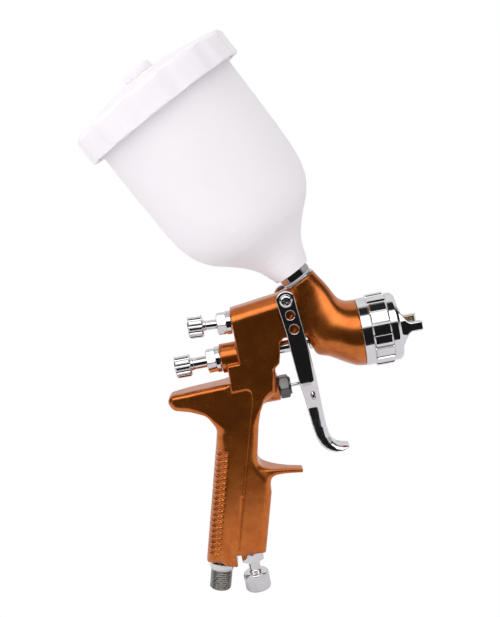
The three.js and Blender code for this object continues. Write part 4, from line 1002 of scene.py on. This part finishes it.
class SPRAYGUN_OT_inlet(bpy.types.Operator):
    """Air inlet: a chromed collar and a threaded steel nipple"""

    bl_idname = "spraygun.inlet"
    bl_label = "Air inlet"

    def execute(self, context):
        rod("inlet_ring", "inlet_collar", DOWN_THE_GRIP, lambda end: [
            (5.4, 0, 0.2), (7.4, 0, 0.3), (7.4, 2.9, 0.3), (7.0, 3.3, 0.2), (7.0, end, 0.5), (5.4, end, 0.2)],
            "root", closed=True, sides=96)
        line = Line("air_inlet_nipple", DOWN_THE_GRIP)
        end = line.length
        start = end - 12.2
        outer, bore, neck = 6.58, 4.3, 5.1
        profile = closed_outline([
            (bore, 0, 0.2), (neck, 0, 0.2), (neck, start, 0.1), (5.9, start, 0.2), (outer, start + 0.7),
            (outer, end - 0.9), (5.7, end, 0.2), (4.9, end, 0.2), (bore, end - 0.6, 0.1)], 0.14, start, end)
        thread = threaded(outer, 0.75, PIPE_PITCH, start - 0.1, end + 0.1, 0.5)
        make("inlet_nipple", turned(line, profile, 96, True, thread), "grey_steel", "root", "air_inlet_nipple",
             crease=60)
        return {"FINISHED"}


# ---------- spray head ----------
class SPRAYGUN_OT_ring(bpy.types.Operator):
    """Retaining ring with broad lands"""

    bl_idname = "spraygun.ring"
    bl_label = "Retaining ring"

    def execute(self, context):
        line = Line("retaining_ring", FORWARD)
        end = line.length
        base, grip = 20.0, 21.3
        profile = closed_outline([
            (16.6, 0, 0.3), (base, 0, 0.4), (base, 5.4, 0.2), (base - 0.6, 5.7, 0.1), (grip - 0.9, 5.7, 0.1),
            (grip, 6.5, 0.3), (grip, 15.9, 0.3), (grip - 0.9, 16.7, 0.1), (base - 0.6, 16.7, 0.1),
            (base, 17.0, 0.2), (base, end - 2.0, 1.2), (18.4, end - 0.3, 0.5), (15.4, end, 0.3),
            (15.35, 16.6, 0.1), (17.6, 16.6, 0.1), (17.6, 11.5, 0.1), (16.6, 10.3)], 0.4, 5.4, 17.2)
        lands = size("ring_lands")
        shape = fluted(grip, 1.5, lands, 5.75, 16.65, 4.0, 0.24)
        make("lock_ring", turned(line, profile, lands * 20, True, shape), "chrome", "retaining_ring",
             "retaining_ring", crease=32)
        return {"FINISHED"}


CAP_FACE = 12.2  # height of the air cap's face over its back
HORN_SPREAD = 12.0  # from the needle's line to the middle of a horn


def air_cap_field(x, y, z, line):
    """A domed cap with a flange, turned about the needle's line, and a horn on each side that flows out of the
    dome; small holes are drilled into the horns and the face."""
    away = np.hypot(y, z)
    back = line.origin[0]
    face = back + CAP_FACE
    tip = back + line.length
    dome = outline_field(away, x, filleted([
        (17.2, back), (17.2, back + 3.0, 0.3), (14.95, back + 3.0), (14.95, face - 3.0, 1.2),
        (9.4, face - 0.3, 1.0), (4.6, face, 0.5), (2.5, face, 0.3), (2.5, face - 2.2, 0.2), (8.5, face - 4),
        (12.3, face - 6.5), (13.2, back)], closed=True))
    spread = np.abs(y) - HORN_SPREAD
    fall = np.clip((face + 4.3 - x) / 6.5, 0, 1) ** 2  # 0 along the horn, 1 at its root
    horn = rounded_meet(np.abs(spread) - (2.4 + 1.2 * fall), np.abs(z) - (2.75 + 9.5 * fall), 0.9)
    ends = np.maximum(x - tip + np.maximum(0, -spread) * 0.5, back + 6.0 - x)
    horn = pared(pared(horn, ends, 0.6), away - 14.9, 0.8)
    cap = blended(dome, horn, 1.6)
    jets = [((place, hand * HORN_SPREAD, 0), (0.2, -hand * 0.98, 0), 0.66, 5)
            for hand in (1, -1) for place in (tip - 3.7, tip - 6.2)]
    jets += [((face - 6, 5.2 * math.cos(angle), 5.2 * math.sin(angle)), FORWARD, 0.55, 9)
             for angle in np.arange(8) / 8 * TURN]
    for start, direction, radius, reach in jets:
        cap = np.maximum(cap, -rod_field(x, y, z, start, direction, radius, reach, 0.05))
    return cap


def paint_jets(cap, front):
    """Bare brass on the faces of the horns that look at each other."""
    cap.data.materials.append(finishes["brass"])
    faces = cap.data.polygons
    normal, middle = np.empty(len(faces) * 3, np.float32), np.empty(len(faces) * 3, np.float32)
    faces.foreach_get("normal", normal)
    faces.foreach_get("center", middle)
    normal, middle = normal.reshape(-1, 3), middle.reshape(-1, 3) / MM
    inner = (normal[:, 1] * np.sign(middle[:, 1]) < -0.75) & (middle[:, 0] > front)
    faces.foreach_set("material_index", inner.astype(np.int32))


class SPRAYGUN_OT_air_cap(bpy.types.Operator):
    """Air cap with two horns, and the brass fluid nozzle inside it"""

    bl_idname = "spraygun.air_cap"
    bl_label = "Air cap"

    def execute(self, context):
        line = Line("air_cap", FORWARD)
        back, reach, room = line.origin[0], 18.6, 1.5
        surface = skin(lambda x, y, z: air_cap_field(x, y, z, line), (back - room, -reach, -reach),
                       (back + line.length + room, reach, reach), size("chrome_grid"))
        cap = make("horned_air_cap", surface, "chrome", "air_cap", "air_cap", crease=180)
        paint_jets(cap, back + CAP_FACE + 0.6)
        rod("paint_nozzle", "fluid_nozzle", FORWARD, lambda end: [
            (2.9, 0, 0.2), (4.3, 0, 0.4), (4.3, 13, 0.1), (7.6, 13, 0.3), (7.6, 16.6, 0.5), (5.4, 17.6, 0.4),
            (3.4, end - 8, 0.8), (1.9, end - 4.5, 0.5), (1.9, end, 0.15), (1.0, end, 0.1), (1.0, end - 1.4, 0.2),
            (2.1, end - 6, 1), (2.9, 13, 1)], "root", "brass", closed=True, sides=96)
        return {"FINISHED"}


# ---------- cup and lid ----------
# The cup's outer side over its outlet, as radius, height and radius of the corner.
CUP_CURVE = [
    (11.3, 0, 0.6), (12.1, 2.5, 3), (13.4, 6.4, 8), (15.2, 10.9, 12), (18.5, 15.9, 14), (22.8, 20.7, 16),
    (28.7, 26.2, 20), (33.5, 30.4, 16), (37.5, 35.2, 16), (40.4, 40.4, 20), (42.5, 46.6, 24),
    (43.6, 52.6, 30), (44.3, 60.6, 40), (44.7, 72, 60),
]


class SPRAYGUN_OT_cup(bpy.types.Operator):
    """Paint cup, its threaded insert and the neck's adapter"""

    bl_idname = "spraygun.cup"
    bl_label = "Paint cup"

    def execute(self, context):
        line = Line("cup", UP_THE_CUP)
        wall = size("cup_wall")
        side = line.radius
        rim = line.length
        curve = [*CUP_CURVE, (side, 94.6, 60)]
        inner = [(radius - wall * 1.05, height + wall * 0.5, corner) for radius, height, corner in curve[5:]]
        outline = closed_outline([
            (8.5, 0, 0.2), *curve, (side, rim - 1.2), (side - 0.4, rim, 0.3), (side - wall, rim, 0.3),
            *inner[::-1], (12.2, 16.3, 3), (6.0, 15.4, 0.5), (6.0, 13.8, 0.3), (8.5, 13.8)], 1.6, steps=5)
        lower = outline[:40]  # points of the outer side round the funnel
        seam_half, seam_height = 0.35, 0.12

        def moulded(angle, radius, height):
            """A faint mould seam down two opposite sides."""
            seam = np.exp(-((np.abs(np.sin(angle)) * side / seam_half) ** 2)) * seam_height
            outside = radius > np.interp(height, lower[:, 1], lower[:, 0]) - 9
            return radius + seam * smooth_step(radius, 11, 14) * outside * (height < rim - 6), height

        make("paint_cup", turned(line, outline, 160, True, moulded), "milky_plastic", "cup", "cup", crease=45)
        insert = Line("cup_thread_insert", UP_THE_CUP)
        end, corner, hex_to = insert.length, 9.6, 3.8
        profile = closed_outline([
            (5.8, 0, 0.2), (9.1, 0, 0.1), (corner, 0.35), (corner, 3.45), (9.1, hex_to), (8.2, hex_to),
            (8.2, end, 0.3), (5.8, end, 0.2)], 0.25, 0, hex_to + 0.1)
        shape = hexagon(corner, -0.01, hex_to - 0.01, math.pi / 6)
        make("cup_insert", turned(insert, profile, 144, True, shape), "chrome", "cup", "cup_thread_insert",
             crease=32)
        neck = Line("neck_adapter", UP_THE_CUP)
        end, bore, thread, flange, flange_to = neck.length, 3.6, 5.5, 9.9, 13.3
        profile = closed_outline([
            (bore, 0, 0.2), (5.4, 0, 0.3), (5.4, 12.3), (flange, 12.3, 0.25), (flange, flange_to, 0.3),
            (5.6, flange_to), (thread, 13.9), (thread, end - 0.7), (4.9, end, 0.1), (bore, end, 0.2)],
            0.16, flange_to, end)
        make("neck_fitting", turned(neck, profile, 96, True, threaded(thread, 0.6, PIPE_PITCH, 13.6, end)),
             "chrome", "root", "neck_adapter", crease=60)
        return {"FINISHED"}


class SPRAYGUN_OT_lid(bpy.types.Operator):
    """Lid with its lobed skirt, and the vent cap on it"""

    bl_idname = "spraygun.lid"
    bl_label = "Lid"

    def execute(self, context):
        line = Line("lid", UP_THE_CUP)
        outer = line.radius
        top = line.length - 6.0  # the skirt's top edge; the crown rises above it
        bore = 45.3
        outline = closed_outline([
            (outer - 3.3, 0, 0.5), (outer - 0.4, 0, 0.5), (outer, 0.8, 0.8), (outer, top - 2.6, 1.2),
            (outer - 1.6, top - 0.4, 1.6), (outer - 6, top + 0.7, 5), (34, top + 3.4, 30), (20, top + 5.6, 20),
            (9.9, top + 6.0, 0.5), (9.5, top + 5.4, 0.3), (3.3, top + 5.4, 0.2), (3.3, top + 4.0, 0.2),
            (13, top + 3.6, 8), (30, top - 1.4, 10), (bore - 0.2, top - 2.6, 0.6), (bore, top - 5.5, 0.5),
            (bore, 0, 0.5), (bore + 1.6, 0, 0.5), (bore + 1.8, top - 6, 0.8), (outer - 3.6, top - 6, 0.8)],
            1.3, steps=5)
        lobes = size("lid_lobes")
        lobe_depth = 1.3

        def lobed(angle, radius, height):
            """Hollows between the finger grips, which fade out at the skirt's top edge."""
            phase = (angle * lobes / TURN) % 1 - 0.5
            groove = np.cos(np.clip(phase / 0.5, -0.5, 0.5) * math.pi) ** 1.3
            fade = 1 - smooth_step(height, top - 2.2, top - 0.2)
            return np.minimum(radius, outer - lobe_depth * groove * fade), height

        make("cup_lid", turned(line, outline, lobes * 24, True, lobed), "milky_plastic", "lid", "lid", crease=50)
        vent = Line("vent_cap", UP_THE_CUP)
        end = vent.length
        plug = end - 5.5
        profile = denser(filleted([
            (0, 0), (2.5, 0, 0.3), (3.0, 0.8), (3.0, plug), (8.9, plug, 0.3), (9.25, plug + 1.2, 0.6),
            (9.1, end - 1.6, 0.6), (7.7, end, 1.4), (4.0, end, 0.5), (3.4, end - 0.5, 0.5), (0, end - 0.5)],
            steps=5), 0.5)
        knurls, knurl_depth = 24, 0.18

        def knurled(angle, radius, height):
            """Fine grooves round the cap's edge."""
            phase = (angle * knurls / TURN) % 1 - 0.5
            groove = knurl_depth * np.cos(phase * math.pi) ** 2 * smooth_step(height, plug + 0.4, plug + 1.4)
            fade = 1 - smooth_step(height, end - 2.4, end - 1.2)
            return np.where(radius > 8, radius - groove * fade, radius), height

        make("vent_button", turned(vent, profile, 144, shape=knurled), "milky_plastic", "vent_cap", "vent_cap",
             crease=50)
        return {"FINISHED"}


# ---------- springs ----------
class SPRAYGUN_OT_springs(bpy.types.Operator):
    """Springs behind the needle's collar and behind the air valve"""

    bl_idname = "spraygun.springs"
    bl_label = "Springs"

    def execute(self, context):
        dead, rise_dead = 0.12, 0.08  # share of the wire in a flat end turn, and of the height that it climbs
        for name, node, body, joint, wire, turns in (
                ("needle_return_coil", "needle_spring", "fluid_feed", "needle_pull", 0.8, 7),
                ("valve_return_coil", "air_valve_spring", "root", "air_valve_push", 0.9, 6)):
            line = Line(node, FORWARD)
            t = np.concatenate([[0, 1e-4], np.linspace(0.004, 0.996, turns * 28), [1 - 1e-4, 1]])
            pitch = np.clip((t - dead) / (1 - 2 * dead), 0, 1)
            height = wire / 2 + (line.length - wire) * (rise_dead * t + (1 - rise_dead) * pitch)
            radius = line.radius - wire / 2
            path = np.stack([radius * np.cos(t * turns * TURN), radius * np.sin(t * turns * TURN), height], axis=1)
            angle = np.arange(10) / 10 * TURN
            outline = np.stack([np.cos(angle), np.sin(angle)], axis=1) * wire / 2
            ends = np.ones(len(t))
            ends[[0, -1]] = 0
            points, faces = carried(path, outline, UP, ends)
            coil = make(name, (line.place(points), faces), "spring_steel", body, node)
            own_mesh(coil)
        return {"FINISHED"}


# ---------- inner pieces that keep their CAD shape ----------
INNER_FINISHES = {
    "spring_steel": ["ring_clip"],
    "brass": ["needle_spring_cap", "air_valve_seat", "air_valve_poppet", "fan_needle", "air_control_needle",
              "air_distributor", "pivot_sleeve"],
    "seal": ["needle_packing", "distributor_seal", "air_valve_packing", "cup_gasket", "lid_gasket",
             "paint_strainer"],
    "rubber": ["fan_seal", "air_control_seal"],
}


class SPRAYGUN_OT_inner(bpy.types.Operator):
    """Clip, seals and valve parts inside the gun, which keep the frame's shapes and get their finishes"""

    bl_idname = "spraygun.inner"
    bl_label = "Inner pieces"

    def execute(self, context):
        for finish, nodes in INNER_FINISHES.items():
            for node in nodes:
                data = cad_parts[node].data
                data.materials.clear()
                data.materials.append(finishes[finish])
        return {"FINISHED"}


# ---------- studio ----------
# The light's level by its pitch in degrees: 0 is the horizon in front of the gun, 90 overhead, 180 behind it.
LIGHT_BANDS = [(-180, 0.72), (-100, 0.6), (-60, 0.4), (-42, 0.012), (21, 0.012), (31, 2.0),
               (61, 2.0), (68, 0.02), (96, 0.02), (106, 0.85), (180, 0.72)]
BRIGHTEST = 2.0
SIDE_FROM, SIDE_TO = 0.76, 0.92  # how far a direction leans to the left or right where the sides take over
WHITE = (1, 1, 1, 1)


def studio_world(brightness):
    """Soft boxes round the gun, by direction: a bright band above the front, dark at the height of the viewer
    and overhead, bright behind, and sides that are lit from below only. Diffuse rays see a plain soft fill, and
    the backdrop itself is white."""
    world = bpy.data.worlds.new("studio")
    bpy.context.scene.world = world
    world.use_nodes = True
    tree = Tree(world.node_tree)
    split = tree.nodes.new("ShaderNodeSeparateXYZ")
    tree.put(split.inputs["Vector"], tree.nodes.new("ShaderNodeTexCoord").outputs["Generated"])
    x, y, z = split.outputs

    pitch = tree.math("ARCTAN2", z, tree.math("MULTIPLY", y, -1))
    bands = tree.nodes.new("ShaderNodeValToRGB")
    tree.put(bands.inputs["Fac"], tree.math("ADD", tree.math("DIVIDE", pitch, TURN), 0.5))
    elements = bands.color_ramp.elements
    for degrees, _ in LIGHT_BANDS[1:-1]:  # the ramp starts with its two ends
        elements.new(degrees / 360 + 0.5)
    for element, (_, level) in zip(elements, LIGHT_BANDS):
        element.color = (*[level / BRIGHTEST] * 3, 1)
    sides = tree.ramp(tree.math("ABSOLUTE", x), SIDE_FROM, SIDE_TO, 0, 1)
    from_below = tree.ramp(z, -0.02, 0.14, 0.3, 0.01)

    def glow(colour, strength):
        """Light of one colour and strength."""
        node = tree.nodes.new("ShaderNodeBackground")
        tree.put(node.inputs["Color"], colour)
        tree.put(node.inputs["Strength"], strength)
        return node.outputs["Background"]

    tree.nodes.remove(tree.nodes["Background"])
    boxes = glow(tree.mix(sides, bands.outputs["Color"], from_below), BRIGHTEST * brightness)
    lean = tree.math("MULTIPLY", tree.ramp(x, -1, 1, 1.34, 0.7, "LINEAR"), brightness)
    soft = tree.choose("Is Diffuse Ray", boxes, glow((1, 0.985, 1, 1), lean))
    seen = tree.choose("Is Camera Ray", soft, glow(WHITE, 1.0))
    tree.put(tree.nodes["World Output"].inputs["Surface"], seen)


def studio_floor(height, front):
    """A pale floor from just in front of the gun to far behind it, white in the camera's own view."""
    half_width, back = 2.5, 4.0
    mesh = bpy.data.meshes.new("floor")
    mesh.from_pydata([(-half_width, -front, height), (half_width, -front, height), (half_width, back, height),
                      (-half_width, back, height)], [], [(0, 1, 2, 3)])
    material = bpy.data.materials.new("pale floor")
    material.use_nodes = True
    tree = Tree(material.node_tree)
    shader = tree.nodes["Principled BSDF"]
    shader.inputs["Base Color"].default_value = (0.74, 0.73, 0.74, 1)
    shader.inputs["Roughness"].default_value = 0.8
    bright = tree.nodes.new("ShaderNodeEmission")
    bright.inputs["Color"].default_value = WHITE
    seen = tree.choose("Is Camera Ray", shader.outputs["BSDF"], bright.outputs["Emission"])
    tree.put(tree.nodes["Material Output"].inputs["Surface"], seen)
    mesh.materials.append(material)
    floor = bpy.data.objects.new("floor", mesh)
    bpy.context.scene.collection.objects.link(floor)


class SPRAYGUN_OT_studio(bpy.types.Operator):
    """Pale floor, soft light and the camera"""

    bl_idname = "spraygun.studio"
    bl_label = "Studio"

    def execute(self, context):
        studio = context.scene.spray_gun_studio
        context.scene.view_settings.view_transform = "Standard"
        studio_world(studio.brightness)
        studio_floor(cad_low.z - studio.floor_gap, studio.floor_front)
        tilt = Matrix.Rotation(studio.nose_up, 3, "Y")  # from an upright frame to the gun's own
        flat = math.cos(studio.elevation)
        back = tilt @ Vector((math.sin(studio.azimuth) * flat, -math.cos(studio.azimuth) * flat,
                              math.sin(studio.elevation)))
        up = tilt @ Vector((0, 0, 1))
        right = up.cross(back).normalized()
        up = back.cross(right)
        data = bpy.data.cameras.new("camera")
        data.lens = studio.lens
        camera = bpy.data.objects.new("camera", data)
        context.scene.collection.objects.link(camera)
        turn = Matrix((right, up, back)).transposed().to_4x4()
        place = Vector((0, 0, studio.target_height)) + back * studio.distance
        camera.matrix_world = Matrix.Translation(place) @ turn
        context.scene.camera = camera
        return {"FINISHED"}


class SPRAYGUN_OT_finishes(bpy.types.Operator):
    """Paint, plating, brass, plastic and rubber"""

    bl_idname = "spraygun.finishes"
    bl_label = "Finishes"

    def execute(self, context):
        make_finishes()
        return {"FINISHED"}


OPERATORS = [
    SPRAYGUN_OT_finishes, SPRAYGUN_OT_casting, SPRAYGUN_OT_trigger, SPRAYGUN_OT_pivot, SPRAYGUN_OT_nuts,
    SPRAYGUN_OT_knobs, SPRAYGUN_OT_needle, SPRAYGUN_OT_inlet, SPRAYGUN_OT_ring, SPRAYGUN_OT_air_cap,
    SPRAYGUN_OT_cup, SPRAYGUN_OT_lid, SPRAYGUN_OT_springs, SPRAYGUN_OT_inner, SPRAYGUN_OT_studio,
]


class SPRAYGUN_PT_panel(bpy.types.Panel):
    """Lists the gun's pieces in the sidebar"""

    bl_idname = "SPRAYGUN_PT_panel"
    bl_label = "Spray gun"
    bl_space_type = "VIEW_3D"
    bl_region_type = "UI"
    bl_category = "Spray gun"

    def draw(self, context):
        for operator in OPERATORS:
            self.layout.operator(operator.bl_idname)
        for group in (context.scene.spray_gun_sizes, context.scene.spray_gun_colours,
                      context.scene.spray_gun_studio):
            box = self.layout.box()
            for name in group.bl_rna.properties.keys():
                if name not in {"rna_type", "name"}:
                    box.prop(group, name)


CLASSES = [SprayGunSizes, SprayGunColours, SprayGunStudio, *OPERATORS, SPRAYGUN_PT_panel]


def register():
    """Add the classes and hang the property groups on the scene."""
    for made in CLASSES:
        bpy.utils.register_class(made)
    bpy.types.Scene.spray_gun_sizes = PointerProperty(type=SprayGunSizes)
    bpy.types.Scene.spray_gun_colours = PointerProperty(type=SprayGunColours)
    bpy.types.Scene.spray_gun_studio = PointerProperty(type=SprayGunStudio)


def unregister():
    """Take away what register added."""
    del bpy.types.Scene.spray_gun_studio
    del bpy.types.Scene.spray_gun_colours
    del bpy.types.Scene.spray_gun_sizes
    for made in reversed(CLASSES):
        bpy.utils.unregister_class(made)


def main():
    """Build every piece and the studio."""
    register()
    for operator in OPERATORS:
        getattr(bpy.ops.spraygun, operator.bl_idname.split(".")[1])()


if __name__ == "__main__":
    main()
